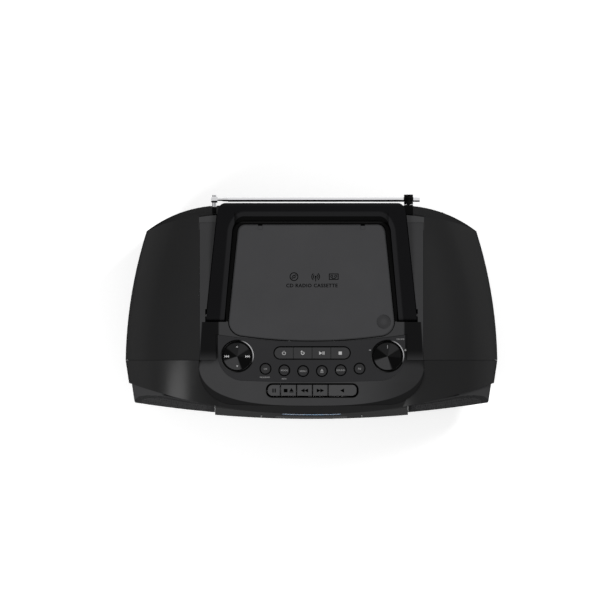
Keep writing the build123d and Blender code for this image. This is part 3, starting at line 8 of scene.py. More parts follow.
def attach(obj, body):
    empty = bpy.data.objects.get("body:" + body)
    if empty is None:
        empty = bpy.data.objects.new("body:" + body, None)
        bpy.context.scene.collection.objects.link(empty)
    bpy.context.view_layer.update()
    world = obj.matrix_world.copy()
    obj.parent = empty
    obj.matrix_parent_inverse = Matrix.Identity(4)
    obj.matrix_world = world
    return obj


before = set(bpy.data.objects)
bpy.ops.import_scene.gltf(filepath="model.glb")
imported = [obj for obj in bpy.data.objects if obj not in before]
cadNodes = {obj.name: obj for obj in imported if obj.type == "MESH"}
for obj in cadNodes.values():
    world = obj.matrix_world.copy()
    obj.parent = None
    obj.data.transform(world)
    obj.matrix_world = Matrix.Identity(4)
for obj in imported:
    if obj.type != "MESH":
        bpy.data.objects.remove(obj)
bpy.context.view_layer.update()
scene = bpy.context.scene
print("frame loaded:", len(cadNodes), "nodes")


# one value or colour in a material, with sums written as Python
class Signal:
    def __init__(self, finish, socket):
        self.finish = finish
        self.socket = socket

    def math(self, operation, other=None, swap=False):
        values = [self] if other is None else ([other, self] if swap else [self, other])
        return self.finish.node("ShaderNodeMath", {"operation": operation}, dict(enumerate(values)))

    def __add__(self, other): return self.math("ADD", other)
    def __radd__(self, other): return self.math("ADD", other)
    def __sub__(self, other): return self.math("SUBTRACT", other)
    def __rsub__(self, other): return self.math("SUBTRACT", other, True)
    def __mul__(self, other): return self.math("MULTIPLY", other)
    def __rmul__(self, other): return self.math("MULTIPLY", other)
    def __truediv__(self, other): return self.math("DIVIDE", other)
    def __pow__(self, other): return self.math("POWER", other)
    def __gt__(self, other): return self.math("GREATER_THAN", other)
    def __lt__(self, other): return self.math("LESS_THAN", other)
    def __abs__(self): return self.math("ABSOLUTE")


class Finish:
    def __init__(self, name):
        self.material = bpy.data.materials.new(name)
        self.material.use_nodes = True
        self.tree = self.material.node_tree
        self.shader = self.tree.nodes["Principled BSDF"]
        self.coords = self.tree.nodes.new("ShaderNodeTexCoord")

    def node(self, kind, settings=None, inputs=None, output=0):
        made = self.tree.nodes.new(kind)
        for key, value in (settings or {}).items():
            setattr(made, key, value)
        for key, value in (inputs or {}).items():
            self.feed(made.inputs[key], value)
        return Signal(self, made.outputs[output])

    def feed(self, socket, value):
        if isinstance(value, Signal):
            self.tree.links.new(value.socket, socket)
        else:
            socket.default_value = value

    def place(self):
        return Signal(self, self.coords.outputs["Object"])

    def split(self, vector):
        made = self.tree.nodes.new("ShaderNodeSeparateXYZ")
        self.feed(made.inputs[0], vector)
        return [Signal(self, s) for s in made.outputs]

    def noise(self, scale, detail=3.0, rough=0.5):
        return self.node("ShaderNodeTexNoise", {}, {"Vector": self.place(), "Scale": scale, "Detail": detail,
                                                     "Roughness": rough})

    def fade(self, value, start, end):
        return self.node("ShaderNodeMapRange", {"interpolation_type": "SMOOTHSTEP"},
                         {"Value": value, "From Min": start, "From Max": end})

    def mix(self, amount, first, second):
        made = self.tree.nodes.new("ShaderNodeMix")
        made.data_type = "RGBA"
        self.feed(made.inputs[0], amount)
        self.feed(made.inputs[6], first)
        self.feed(made.inputs[7], second)
        return Signal(self, made.outputs[2])

    def bump(self, height, strength, distance):
        return self.node("ShaderNodeBump", {}, {"Height": height, "Strength": strength, "Distance": distance})

    def set(self, **values):
        names = {"color": "Base Color", "rough": "Roughness", "metal": "Metallic", "alpha": "Alpha",
                 "coat": "Coat Weight", "coatRough": "Coat Roughness", "glow": "Emission Color",
                 "glowStrength": "Emission Strength", "specular": "Specular IOR Level", "normal": "Normal"}
        for key, value in values.items():
            self.feed(self.shader.inputs[names[key]], value)
        return self.material


def grey(level, tint=0.0):
    return (level, level, level * (1 + tint), 1)


# what all moulded plastics have in common
moulding = {"cloudScale": 18.0, "cloudDetail": 4.0, "cloudRough": 0.6, "cloudShade": 0.10,
            "grainDetail": 2.0, "grainRough": 0.7, "grainGloss": 0.12, "grainHeight": 0.0002,
            "specular": 0.03}


# moulded plastic: fine spark-eroded grain, slightly cloudy in colour and gloss;
# paint(finish, colour) may darken or lighten parts of it
def mouldedPlastic(name, look, paint=None):
    f = Finish(name)
    cloud = f.noise(moulding["cloudScale"], moulding["cloudDetail"], moulding["cloudRough"])
    grain = f.noise(look["grain"], moulding["grainDetail"], moulding["grainRough"])
    dark, light = [tuple(c * (1 + side * moulding["cloudShade"]) for c in look["shade"][:3]) + (1,)
                   for side in (-1, 1)]
    color = f.mix(cloud, dark, light)
    if paint:
        color = paint(f, color)
    f.set(color=color, rough=look["rough"] + (grain - 0.5) * moulding["grainGloss"],
          specular=look.get("specular", moulding["specular"]),
          normal=f.bump(grain, look["grainDepth"], moulding["grainHeight"]))
    if look.get("gloss"):
        facing = f.node("ShaderNodeLayerWeight", {}, {"Blend": 0.5}, 1)
        f.set(coat=(1.0 - facing) * look["gloss"], coatRough=look["glossRough"])
    return f.material


plasticLooks = {
    "shellBlack": {"shade": grey(0.0085, 0.03), "rough": 0.45, "grain": 2600.0, "grainDepth": 0.12,
                   "specular": 0.0, "gloss": 0.26, "glossRough": 0.30},
    "deckBlack": {"shade": grey(0.036, 0.03), "rough": 0.40, "grain": 2600.0, "grainDepth": 0.10},
    "lidGrey": {"shade": grey(0.046, 0.04), "rough": 0.46, "grain": 2200.0, "grainDepth": 0.12},
    "handleBlack": {"shade": grey(0.0042, 0.10), "rough": 0.38, "grain": 3000.0, "grainDepth": 0.06},
    "bezelGrey": {"shade": grey(0.042, 0.03), "rough": 0.42, "grain": 2400.0, "grainDepth": 0.10},
    "panelGloss": {"shade": grey(0.024, 0.05), "rough": 0.30, "grain": 2400.0, "grainDepth": 0.03},
    "frontGloss": {"shade": grey(0.005, 0.04), "rough": 0.24, "grain": 2400.0, "grainDepth": 0.02,
                   "specular": 0.0, "gloss": 0.6, "glossRough": 0.12},
    "grilleBlack": {"shade": grey(0.038, 0.03), "rough": 0.60, "grain": 2400.0, "grainDepth": 0.08,
                    "specular": 0.0, "gloss": 0.1, "glossRough": 0.4},
    "keyGrey": {"shade": grey(0.058, 0.02), "rough": 0.36, "grain": 3000.0, "grainDepth": 0.06},
    "pillGrey": {"shade": grey(0.036, 0.03), "rough": 0.34, "grain": 3000.0, "grainDepth": 0.05},
    "buttonGrey": {"shade": grey(0.028, 0.03), "rough": 0.34, "grain": 3000.0, "grainDepth": 0.05},
    "innerBlack": {"shade": grey(0.005, 0.03), "rough": 0.55, "grain": 1800.0, "grainDepth": 0.12},
    "rubberBlack": {"shade": grey(0.010), "rough": 0.75, "grain": 1500.0, "grainDepth": 0.30},
    "whiteNylon": {"shade": grey(0.60, -0.05), "rough": 0.45, "grain": 2000.0, "grainDepth": 0.08},
}
onlyPainted = ("deckBlack", "handleBlack", "bezelGrey", "keyGrey")
plastic = {name: mouldedPlastic(name, look) for name, look in plasticLooks.items() if name not in onlyPainted}

# places of the painted parts, in metres: the handle's inner edge on the deck, and the strips before its arms
handleLine = {"inFront": 0.1022, "inBack": 0.0918, "frontY": -0.0178, "backY": 0.1003, "corner": 0.012}
innerLean = (handleLine["inFront"] - handleLine["inBack"]) / (handleLine["backY"] - handleLine["frontY"])
strip = {"inner": 0.1085, "outer": 0.1281, "lean": 0.070, "fadeFrom": -0.072, "fadeTo": -0.050,
         "innerSoft": 0.0012, "outerSoft": 0.0008, "shade": grey(0.0045, 0.05)}
# painted shade, near black, in the deck's well round the lid and in the handle's channel
deckWellShade = {"faceZ": 0.1616, "margin": 0.0005, "shade": grey(0.0012)}
shellTop = {"half": 0.1316, "frontY": 0.090, "channelY": 0.1228, "faceZ": 0.1610, "lowZ": 0.1480}
# painted highlight on the handle's inner bevel, painted shade on the bar's steep inner side
handleShading = {"rise": 0.0056, "riseSoft": 0.0003, "fadeFrom": 0.0040, "fadeTo": 0.0066,
              "innerFrom": -0.0002, "innerTo": 0.0004, "light": grey(0.0125, 0.06), "dark": grey(0.0010)}
# painted shade in the push dimple on the lid
pushMark = {"x": 0.0845, "y": -0.0175, "middle": 0.0010, "inner": 0.0062, "outer": 0.0094,
            "least": 0.35, "depth": 0.45, "shade": grey(0.014)}
bezelCurve = {"half": 0.132, "startY": -0.062, "depth": 0.0538, "power": 2.75, "soft": 0.015,
              "paintedShadeFrom": 0.045, "paintedShadeTo": 0.120, "dark": 0.55}

# the slot of the tape keys, the line of painted shade round it and on the keys' sides, and the slope that it
# is cut in
tapeSlot = {"x": 0.0009, "y": -0.09795, "halfX": 0.0538, "halfY": 0.0081, "corner": 0.007, "line": 0.0005,
            "slopeY": -0.0974, "slopeZ": 0.14894, "sine": 0.3963, "cosine": 0.9181, "keyTop": 0.0010,
            "shade": grey(0.0025)}


# distance out from the handle's inner edge, and how much of it runs across the bar
def fromHandleEdge(x, y):
    r = handleLine["corner"]
    line = handleLine["inFront"] - (y - handleLine["frontY"]) * innerLean
    side = (abs(x) - line + r).math("MAXIMUM", 0.0)
    bar = ((y - handleLine["backY"]) + r).math("MAXIMUM", 0.0)
    whole = (side * side + bar * bar) ** 0.5
    return whole - r, bar / (whole + 0.00001)


def stripMask(f, x, y):
    line = strip["outer"] - (y - handleLine["frontY"]) * strip["lean"]
    inside = f.fade(abs(x), strip["inner"] - strip["innerSoft"], strip["inner"] + strip["innerSoft"])
    outside = f.fade(abs(x) - line, -strip["outerSoft"], strip["outerSoft"])
    return inside * (1.0 - outside) * f.fade(y, strip["fadeFrom"], strip["fadeTo"])


# the deck: painted shade, near black, below its face and between the handle and the lid, and a dark tone in
# the strips before the handle's arms
def paintDeck(f, color):
    x, y, z = f.split(f.place())
    inside = fromHandleEdge(x, y)[0] < 0.0
    well = (inside + (z < deckWellShade["faceZ"])).math("MINIMUM", 1.0)
    color = f.mix(well * (y > handleLine["frontY"] + deckWellShade["margin"]), color, deckWellShade["shade"])
    return f.mix(stripMask(f, x, y) * (y < handleLine["frontY"]), color, strip["shade"])


# distance out from the edge of the tape keys' slot
def outsideSlot(x, y):
    aside = (abs(x - tapeSlot["x"]) - (tapeSlot["halfX"] - tapeSlot["corner"])).math("MAXIMUM", 0.0)
    along = (abs(y - tapeSlot["y"]) - (tapeSlot["halfY"] - tapeSlot["corner"])).math("MAXIMUM", 0.0)
    return (aside ** 2.0 + along ** 2.0) ** 0.5 - tapeSlot["corner"]


# the tape keys: painted shade, near black, on their sides, which the gaps round them show
def paintTapeKey(f, color):
    x, y, z = f.split(f.place())
    height = (z - tapeSlot["slopeZ"]) * tapeSlot["cosine"] - (y - tapeSlot["slopeY"]) * tapeSlot["sine"]
    return f.mix(height < tapeSlot["keyTop"], color, tapeSlot["shade"])


# the bezel: painted shade that makes it darker to the right, as dark as the shell at its front corners, with
# a line of painted shade round the tape keys; the strips fade out on it
def paintBezel(f, color):
    x, y, z = f.split(f.place())
    dark, soft = plasticLooks["shellBlack"]["shade"], bezelCurve["soft"]
    # painted shade: darker towards the right
    color = f.mix(f.fade(x, bezelCurve["paintedShadeFrom"], bezelCurve["paintedShadeTo"]) * bezelCurve["dark"], color, dark)
    # painted shade: a near black line in the gap round the tape keys
    color = f.mix(outsideSlot(x, y) < tapeSlot["line"], color, tapeSlot["shade"])
    color = f.mix(stripMask(f, x, y), color, strip["shade"])
    across = (abs(x) / bezelCurve["half"]) ** bezelCurve["power"]
    along = ((bezelCurve["startY"] - y) / bezelCurve["depth"]).math("MAXIMUM", 0.0) ** bezelCurve["power"]
    return f.mix(f.fade(across + along, 1.0 - soft, 1.0 + soft), color, dark)


# the rear shell: its flat part beside the handle's bar is as light as the deck; the channel in it gets
# painted shade, near black
def paintShell(f, color):
    x, y, z = f.split(f.place())
    flat = (abs(x) < shellTop["half"]) * (y > shellTop["frontY"])
    hidden = ((z < shellTop["faceZ"]) + (fromHandleEdge(x, y)[0] < 0.0)).math("MINIMUM", 1.0)
    channel = hidden * (z > shellTop["lowZ"]) * (y < shellTop["channelY"])
    color = f.mix(flat * (z > shellTop["faceZ"]), color, plasticLooks["deckBlack"]["shade"])
    # painted shade: the channel beside the handle's bar, near black
    return f.mix(flat * channel, color, deckWellShade["shade"])


# the handle: a painted highlight, a lighter band on the bevel round its inner edge, and painted shade, black,
# on the steep inner side of the bar
def paintHandle(f, color):
    x, y, z = f.split(f.place())
    out, across = fromHandleEdge(x, y)
    start = across ** 3.0 * handleShading["rise"]
    band = f.fade(out - start, -handleShading["riseSoft"], handleShading["riseSoft"])
    band = band * (1.0 - f.fade(out - start, handleShading["fadeFrom"], handleShading["fadeTo"]))
    color = f.mix(band, color, handleShading["light"])
    # painted shade on the steep inner side of the bar
    inner = f.fade(start - out, handleShading["innerFrom"], handleShading["innerTo"])
    return f.mix(inner, color, handleShading["dark"])


# the disc lid: painted shade, a soft dark patch in the dimple at the place to push
def paintLid(f, color):
    x, y, z = f.split(f.place())
    away = ((x - pushMark["x"]) ** 2.0 + (y - pushMark["y"]) ** 2.0) ** 0.5
    ring = f.fade(away, pushMark["middle"], pushMark["inner"]) * (1.0 - pushMark["least"])
    dark = (1.0 - f.fade(away, pushMark["inner"], pushMark["outer"])) * (pushMark["least"] + ring)
    return f.mix(dark * pushMark["depth"], color, pushMark["shade"])


plastic["lid"] = mouldedPlastic("lidWithDimpleShade", plasticLooks["lidGrey"], paintLid)
plastic["deck"] = mouldedPlastic("deckStriped", plasticLooks["deckBlack"], paintDeck)
plastic["bezel"] = mouldedPlastic("bezelStriped", plasticLooks["bezelGrey"], paintBezel)
plastic["rearShell"] = mouldedPlastic("rearShell", plasticLooks["shellBlack"], paintShell)
plastic["tapeKey"] = mouldedPlastic("tapeKey", plasticLooks["keyGrey"], paintTapeKey)
plastic["handle"] = mouldedPlastic("handlePaintedShading", plasticLooks["handleBlack"], paintHandle)


# drawn metal: fine lines from left to right
drawnLines = {"along": 40.0, "detail": 4.0, "gloss": 0.15, "height": 0.0002}


def metalFinish(name, shade, rough, streak, depth):
    f = Finish(name)
    x, y, z = f.split(f.place())
    stretched = f.node("ShaderNodeCombineXYZ", {}, {"X": x * drawnLines["along"], "Y": y * streak,
                                                    "Z": z * streak})
    lines = f.node("ShaderNodeTexNoise", {}, {"Vector": stretched, "Scale": 1.0,
                                              "Detail": drawnLines["detail"]})
    f.set(color=shade, metal=1.0, rough=rough + (lines - 0.5) * drawnLines["gloss"],
          normal=f.bump(lines, depth, drawnLines["height"]))
    return f.material


metal = {
    "chrome": metalFinish("antennaChrome", grey(0.62, 0.02), 0.10, 900.0, 0.02),
    "steel": metalFinish("zincSteel", grey(0.45, 0.02), 0.34, 1400.0, 0.12),
    "darkSteel": metalFinish("blackSteel", grey(0.10, 0.02), 0.45, 1400.0, 0.12),
}

# the two slopes of the bezel, as rise and run in millimetres, and the fold between them
slope = {"panel": (9.0, 47.2), "keys": (12.0, 27.8), "foldY": -88.0, "foldZ": 153.0}
panelTilt = math.atan2(*slope["panel"])


# a place on the slopes of the bezel, in millimetres: x right, y back, lift out of the surface
def slopeFrame(x, y, lift=0.0):
    rise, run = slope["panel" if y > slope["foldY"] else "keys"]
    tilt = math.atan2(rise, run)
    place = Matrix.Translation(Vector((x, y, slope["foldZ"] + (y - slope["foldY"]) * (rise / run))) / 1000)
    return place @ Matrix.Rotation(tilt, 4, "X") @ Matrix.Translation((0, 0, lift / 1000))


turnedRings = {"count": 9000.0, "depth": 0.25, "height": 0.0001}


# turned metal: fine rings, and painted reflection: light and dark fans round the middle
def turnedDial(name, centre, fans, shade, gloss):
    f = Finish(name)
    mapped = f.node("ShaderNodeMapping", {"vector_type": "TEXTURE"}, {
        "Vector": f.place(), "Location": centre, "Rotation": (panelTilt, 0, 0)})
    x, y, z = f.split(mapped)
    radius = (x * x + y * y) ** 0.5
    rings = (radius * turnedRings["count"]).math("SINE") * 0.5 + 0.5
    cap = (radius < fans["reach"]) * (z > fans["floor"])
    angle = f.node("ShaderNodeMath", {"operation": "ARCTAN2"}, {0: y, 1: x})
    glow = None
    # each fan is a painted highlight or painted shade
    for turn, half, strength in fans["lights"]:
        edge = [math.cos(math.radians(half + side * fans["soft"])) for side in (1, -1)]
        lobe = f.fade((angle - math.radians(turn)).math("COSINE"), *edge) * strength
        glow = lobe if glow is None else glow + lobe
    color = f.mix(glow.math("MINIMUM", 1.0) * cap, shade, fans["bright"])
    f.set(color=color, rough=gloss, specular=moulding["specular"],
          normal=f.bump(rings * cap, turnedRings["depth"], turnedRings["height"]))
    return f.material


dialSpots = {"nav_dial": (-87.0, -57.8), "volume_knob": (89.0, -57.8)}
# painted reflection on the dial caps: light and dark fans round the middle
dialSheenFans = {"reach": 0.0160, "floor": -0.0004, "soft": 7.0, "bright": grey(0.042, 0.03),
            "lights": ((243, 44, 0.95), (56, 22, 0.48), (110, 30, 0.26), (12, 16, 0.10))}
# painted highlight on the bead round each recess: a bright crescent on one side
rimGlintFans = {"reach": 1.0, "floor": -1.0, "soft": 22.0, "bright": grey(0.42, 0.02),
           "lights": ((27, 32, 1.0), (215, 40, 0.08))}
dialFinish, rimGlintFinish = {}, {}
for nodeName, (x, y) in dialSpots.items():
    spot = slopeFrame(x, y, 1.6).translation
    dialFinish[nodeName] = turnedDial(nodeName + "TurnedPaintedSheen", spot, dialSheenFans, grey(0.0012, 0.05), 0.34)
    rimGlintFinish[nodeName] = turnedDial(nodeName + "Rim", spot, rimGlintFans, grey(0.003), 0.25)


# circuit board: green lacquer with a faint net of tracks
def boardFinish():
    f = Finish("boardGreen")
    cells = f.node("ShaderNodeTexVoronoi", {"feature": "DISTANCE_TO_EDGE"},
                   {"Vector": f.place(), "Scale": 260.0})
    track = cells < 0.06
    f.set(color=f.mix(track, (0.015, 0.09, 0.03, 1), (0.06, 0.22, 0.08, 1)), rough=0.35,
          normal=f.bump(track, 0.2, 0.0002))
    return f.material


def glassFinish(name, shade, alpha, glow):
    f = Finish(name)
    haze = f.noise(60.0)
    f.set(color=shade, rough=0.12 + haze * 0.04, alpha=alpha, specular=0.02,
          glow=f.mix(haze, glow, shade), glowStrength=0.5)
    return f.material


def paperCone():
    f = Finish("conePaper")
    fibre = f.noise(900.0, 6.0, 0.7)
    f.set(color=f.mix(fibre, grey(0.02), grey(0.05)), rough=0.8, normal=f.bump(fibre, 0.5, 0.0004))
    return f.material


# bright metal with a black part and darker lines on the bright part; on the antenna's tube these are a
# painted reflection
def partBlack(name, rough, pickBlack):
    f = Finish(name)
    x, y, z = f.split(f.place())
    black, lines = pickBlack(x, y)
    wear = f.noise(300.0, 4.0, 0.6)
    bright = f.mix(lines, grey(0.70, 0.02), grey(0.03))
    f.set(color=f.mix(black, bright, grey(0.003)), metal=1.0 - black,
          rough=rough + (wear - 0.5) * 0.06 + black * 0.3, specular=0.03)
    return f.material


# the antenna's holders are black but for the clip's end on the left; its tube is black at the swivel, and its
# front half is dark, a painted reflection of the cabinet
antennaPaint = {"clipY": 0.1170, "stripes": 2600.0, "stripeFrom": 0.2, "swivelFrom": 0.1078,
                "swivelTo": 0.1192, "tubeReflectionY": 0.1243}


def pickHolders(x, y):
    stripes = (x * antennaPaint["stripes"]).math("SINE") > antennaPaint["stripeFrom"]
    return ((x > 0.0) + (y < antennaPaint["clipY"])).math("MINIMUM", 1.0), stripes


def pickTube(x, y):
    # painted reflection: the tube's front half dark
    return (x > antennaPaint["swivelFrom"]) * (x < antennaPaint["swivelTo"]), y < antennaPaint["tubeReflectionY"]


boardGreen = boardFinish()
finishes = {
    "rear_cabinet": plastic["rearShell"], "front_cabinet": plastic["shellBlack"],
    "top_cover": plastic["deck"], "cd_lid": plastic["lid"], "carry_handle": plastic["handle"],
    "control_bezel": plastic["bezel"], "control_panel": plastic["panelGloss"],
    "front_panel": plastic["frontGloss"], "cassette_door": plastic["frontGloss"],
    "speaker_grilles": plastic["grilleBlack"],
    "display_window": glassFinish("displayGlass", (0.02, 0.06, 0.13, 1), 0.8, (0.03, 0.09, 0.18, 1)),
    "display_module": plastic["innerBlack"], "rubber_feet": plastic["rubberBlack"],
    "cabinet_screws": metal["darkSteel"],
    "antenna_brackets": partBlack("antennaHolders", 0.25, pickHolders),
    "mains_inlet": plastic["innerBlack"], "jack_sockets": metal["darkSteel"],
    "battery_contacts": metal["steel"],
    "speaker_baskets": metal["darkSteel"], "speaker_cones": paperCone(), "main_board": boardGreen,
    "mains_transformer": metal["steel"], "key_board": boardGreen, "cd_chassis": plastic["innerBlack"],
    "drive_motors": metal["steel"], "sled_rails": metal["chrome"], "hinge_pins": metal["darkSteel"],
    "cassette_chassis": metal["steel"], "drive_belt": plastic["rubberBlack"],
    "turntable": plastic["innerBlack"], "sled_screw": metal["steel"], "laser_sled": plastic["innerBlack"],
    "pickup_lens": glassFinish("lensGlass", (0.05, 0.06, 0.16, 1), 0.9, grey(0.0)),
    "antenna_tube": partBlack("antennaTube", 0.10, pickTube), "antenna_middle": metal["chrome"],
    "antenna_tip": metal["chrome"], "supply_spindle": plastic["whiteNylon"],
    "takeup_spindle": plastic["whiteNylon"], "flywheel": metal["steel"], "head_plate": metal["steel"],
    "pinch_roller": plastic["rubberBlack"], "battery_door": plastic["shellBlack"],
}
pillKeys = ["power_key", "repeat_key", "play_key", "stop_key"]
modeButtons = [f"mode_button_{i}" for i in range(1, 7)]
tapeKeys = ["tape_pause_key", "tape_stop_key", "tape_rewind_key", "tape_forward_key", "tape_play_key"]
for nodeNames, finishName in ((pillKeys, "pillGrey"), (modeButtons, "buttonGrey"), (tapeKeys, "tapeKey")):
    for nodeName in nodeNames:
        finishes[nodeName] = plastic[finishName]
finishes.update(dialFinish)
for nodeName, cadObject in cadNodes.items():
    cadObject.data.materials.clear()
    cadObject.data.materials.append(finishes[nodeName])
print("finishes set:", len(finishes))

# prints: flat shapes in millimetres, laid a hair above a surface
printWhite = Finish("printWhite").set(color=grey(0.40), rough=0.5, specular=0.2)
printGrey = Finish("printGrey").set(color=grey(0.20), rough=0.5, specular=0.2)
printBlack = Finish("printBlack").set(color=grey(0.0005), rough=0.6, specular=0.0)


def arcBand(cx, cy, radius, width, start=0.0, end=360.0, steps=28):
    count = max(4, int(steps * (end - start) / 360))
    outer, inner = [], []
    for i in range(count + 1):
        a = math.radians(start + (end - start) * i / count)
        outer.append((cx + (radius + width / 2) * math.cos(a), cy + (radius + width / 2) * math.sin(a)))
        inner.append((cx + (radius - width / 2) * math.cos(a), cy + (radius - width / 2) * math.sin(a)))
    return [[outer[i], outer[i + 1], inner[i + 1], inner[i]] for i in range(count)]


def disc(cx, cy, radius, steps=24):
    angles = [2 * math.pi * i / steps for i in range(steps)]
    return [[(cx + radius * math.cos(a), cy + radius * math.sin(a)) for a in angles]]


def bar(cx, cy, width, height):
    w, h = width / 2, height / 2
    return [[(cx - w, cy - h), (cx + w, cy - h), (cx + w, cy + h), (cx - w, cy + h)]]


def arrow(cx, cy, size, turn=0.0):
    points = [(0.55 * size, 0), (-0.4 * size, 0.55 * size), (-0.4 * size, -0.55 * size)]
    c, s = math.cos(math.radians(turn)), math.sin(math.radians(turn))
    return [[(cx + x * c - y * s, cy + x * s + y * c) for x, y in points]]


# outline of a slot with round ends, from left to right round y 0
def slotBand(left, right, height, width):
    r = height / 2 + width / 2
    middle, length = (left + right) / 2, right - left - height
    return (arcBand(left + height / 2, 0, r, width, 90, 270)
            + arcBand(right - height / 2, 0, r, width, -90, 90)
            + bar(middle, r, length, width) + bar(middle, -r, length, width))


def addPiece(name, mesh, body, material):
    mesh.name = name
    mesh.materials.clear()
    mesh.materials.append(material)
    made = bpy.data.objects.new(name, mesh)
    scene.collection.objects.link(made)
    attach(made, body)
    return made


def addSheet(name, sheet, body, material):
    mesh = bpy.data.meshes.new(name)
    sheet.to_mesh(mesh)
    sheet.free()
    return addPiece(name, mesh, body, material)


# faces between rows of points, closed both ways
def joinRows(sheet, rows):
    for i, here in enumerate(rows):
        after = rows[(i + 1) % len(rows)]
        for j in range(len(here)):
            k = (j + 1) % len(here)
            sheet.faces.new((here[j], after[j], after[k], here[k]))
    bmesh.ops.recalc_face_normals(sheet, faces=sheet.faces)


def surfaceTree(nodeName):
    mesh = cadNodes[nodeName].data
    return BVHTree.FromPolygons([v.co for v in mesh.vertices], [p.vertices for p in mesh.polygons])


def layPrint(name, shapes, place, body, material):
    sheet = bmesh.new()
    for shape in shapes:
        sheet.faces.new([sheet.verts.new(place @ Vector((x / 1000, y / 1000, 0))) for x, y in shape])
    bmesh.ops.remove_doubles(sheet, verts=sheet.verts, dist=1e-7)
    up = place.to_3x3() @ Vector((0, 0, 1))
    for face in sheet.faces:
        face.normal_update()
        if face.normal.dot(up) < 0:
            face.normal_flip()
    return addSheet(name, sheet, body, material)


wordLook = {"spacing": 1.1, "roundness": 2, "boldness": 0.022}


def layWord(name, word, size, place, body, material):
    curve = bpy.data.curves.new(name + "Curve", "FONT")
    curve.body = word
    curve.size = size / 1000
    curve.align_x = curve.align_y = "CENTER"
    curve.space_character = wordLook["spacing"]
    curve.resolution_u = wordLook["roundness"]
    curve.offset = size * wordLook["boldness"] / 1000
    holder = bpy.data.objects.new(name + "Curve", curve)
    scene.collection.objects.link(holder)
    bpy.context.view_layer.update()
    mesh = bpy.data.meshes.new_from_object(holder.evaluated_get(bpy.context.evaluated_depsgraph_get()))
    bpy.data.objects.remove(holder)
    mesh.transform(place)
    return addPiece(name, mesh, body, material)


rayStart = 0.2  # how far out rays to the front and the back start, in metres


# a print that follows a curved front, piece by piece
def wrapPrint(name, shapes, nodeName, centreZ, lift, body, material):
    tree = surfaceTree(nodeName)
    sheet = bmesh.new()
    for shape in shapes:
        spots = [tree.ray_cast(Vector((x / 1000, -rayStart, (centreZ + z) / 1000)), Vector((0, 1, 0)))[0]
                 for x, z in shape]
        sheet.faces.new([sheet.verts.new(spot - Vector((0, lift / 1000, 0))) for spot in spots])
    bmesh.ops.remove_doubles(sheet, verts=sheet.verts, dist=1e-7)
    for face in sheet.faces:
        face.normal_update()
        if face.normal.y > 0:
            face.normal_flip()
    return addSheet(name, sheet, body, material)


# a place on the outside of a CAD node, found from a start point along a direction, in metres
def surfaceFrame(nodeName, start, aim, right, lift=0.0):
    hit, normal = surfaceTree(nodeName).ray_cast(Vector(start), Vector(aim))[:2]
    side = (Vector(right) - normal * normal.dot(Vector(right))).normalized()
    turn = Matrix((side, normal.cross(side), normal)).transposed().to_4x4()
    return Matrix.Translation(hit + normal * lift / 1000) @ turn


# keys on the control panel
flatLift = 0.04
pillPrint = {"left": -43.2, "right": 44.6, "y": -54.0, "height": 13.2, "lift": 1.24, "size": 4.6,
             "outline": 1.0, "gap": 0.4}
pillPitch = (pillPrint["right"] - pillPrint["left"]) / len(pillKeys)
s = pillPrint["size"]
pillShapes = {
    "power_key": arcBand(0, 0, s * 0.42, 0.6, 125, 415) + bar(0, s * 0.34, 0.6, s * 0.5),
    "repeat_key": arcBand(0, 0, s * 0.36, 0.9, -200, 60) + arrow(-s * 0.3, s * 0.38, 2.4, 200),
    "play_key": arrow(-1.2, 0, 3.8) + bar(1.7, 0, 0.8, 3.8) + bar(3.1, 0, 0.8, 3.8),
    "stop_key": bar(0, 0, 3.8, 3.8),
}
for i, nodeName in enumerate(pillKeys):
    x = pillPrint["left"] + (i + 0.5) * pillPitch
    layPrint(nodeName + "Mark", pillShapes[nodeName], slopeFrame(x, pillPrint["y"], pillPrint["lift"]),
             nodeName + "_body", printWhite)
# painted shade: a black band round the gap of the pill keys
pillGapShadeBand = slotBand(pillPrint["left"] - pillPrint["gap"], pillPrint["right"] + pillPrint["gap"],
                    pillPrint["height"] + 2 * pillPrint["gap"], pillPrint["outline"])
layPrint("pillOutline", pillGapShadeBand, slopeFrame(0, pillPrint["y"], flatLift), "cabinet", printBlack)

buttonPrint = {"middle": 1.2, "pitch": 22.0, "y": -75.3, "bow": 0.00095, "lift": 1.24, "size": 2.7,
               "ring": 6.55, "gapShadeWidth": 0.95}
buttonWords = ("OK", "MODE", "MENU", "", "SOUND", "EQ")
rings = []
for i, (nodeName, word) in enumerate(zip(modeButtons, buttonWords)):
    x = buttonPrint["middle"] + (i - 2.5) * buttonPrint["pitch"]
    y = buttonPrint["y"] + buttonPrint["bow"] * x * x
    place = slopeFrame(x, y, buttonPrint["lift"])
    if word:
        layWord(nodeName + "Word", word, buttonPrint["size"], place, nodeName + "_body", printGrey)
    else:
        layPrint(nodeName + "Mark", arrow(0, 1.1, 3.6, 90) + bar(0, -1.5, 3.8, 0.8), place,
                 nodeName + "_body", printGrey)
    # painted shade: a black ring round each button's gap
    rings += arcBand(x, y - buttonPrint["y"], buttonPrint["ring"], buttonPrint["gapShadeWidth"])
layPrint("buttonRings", [[(x, y / math.cos(panelTilt)) for x, y in shape] for shape in rings],
         slopeFrame(0, buttonPrint["y"], flatLift), "cabinet", printBlack)
panelWords = {"PROGRAM": (2.3, -54.6, -82.6), "INFO": (2.3, -32.0, -84.4)}
for word, (size, x, y) in panelWords.items():
    layWord(word.lower() + "Word", word, size, slopeFrame(x, y, flatLift), "cabinet", printGrey)
place = surfaceFrame("control_panel", (0.104, -0.038, 0.3), (0, 0, -1), (1, 0, 0), flatLift)
layWord("volumeWord", "VOLUME", 2.2, place, "cabinet", printGrey)

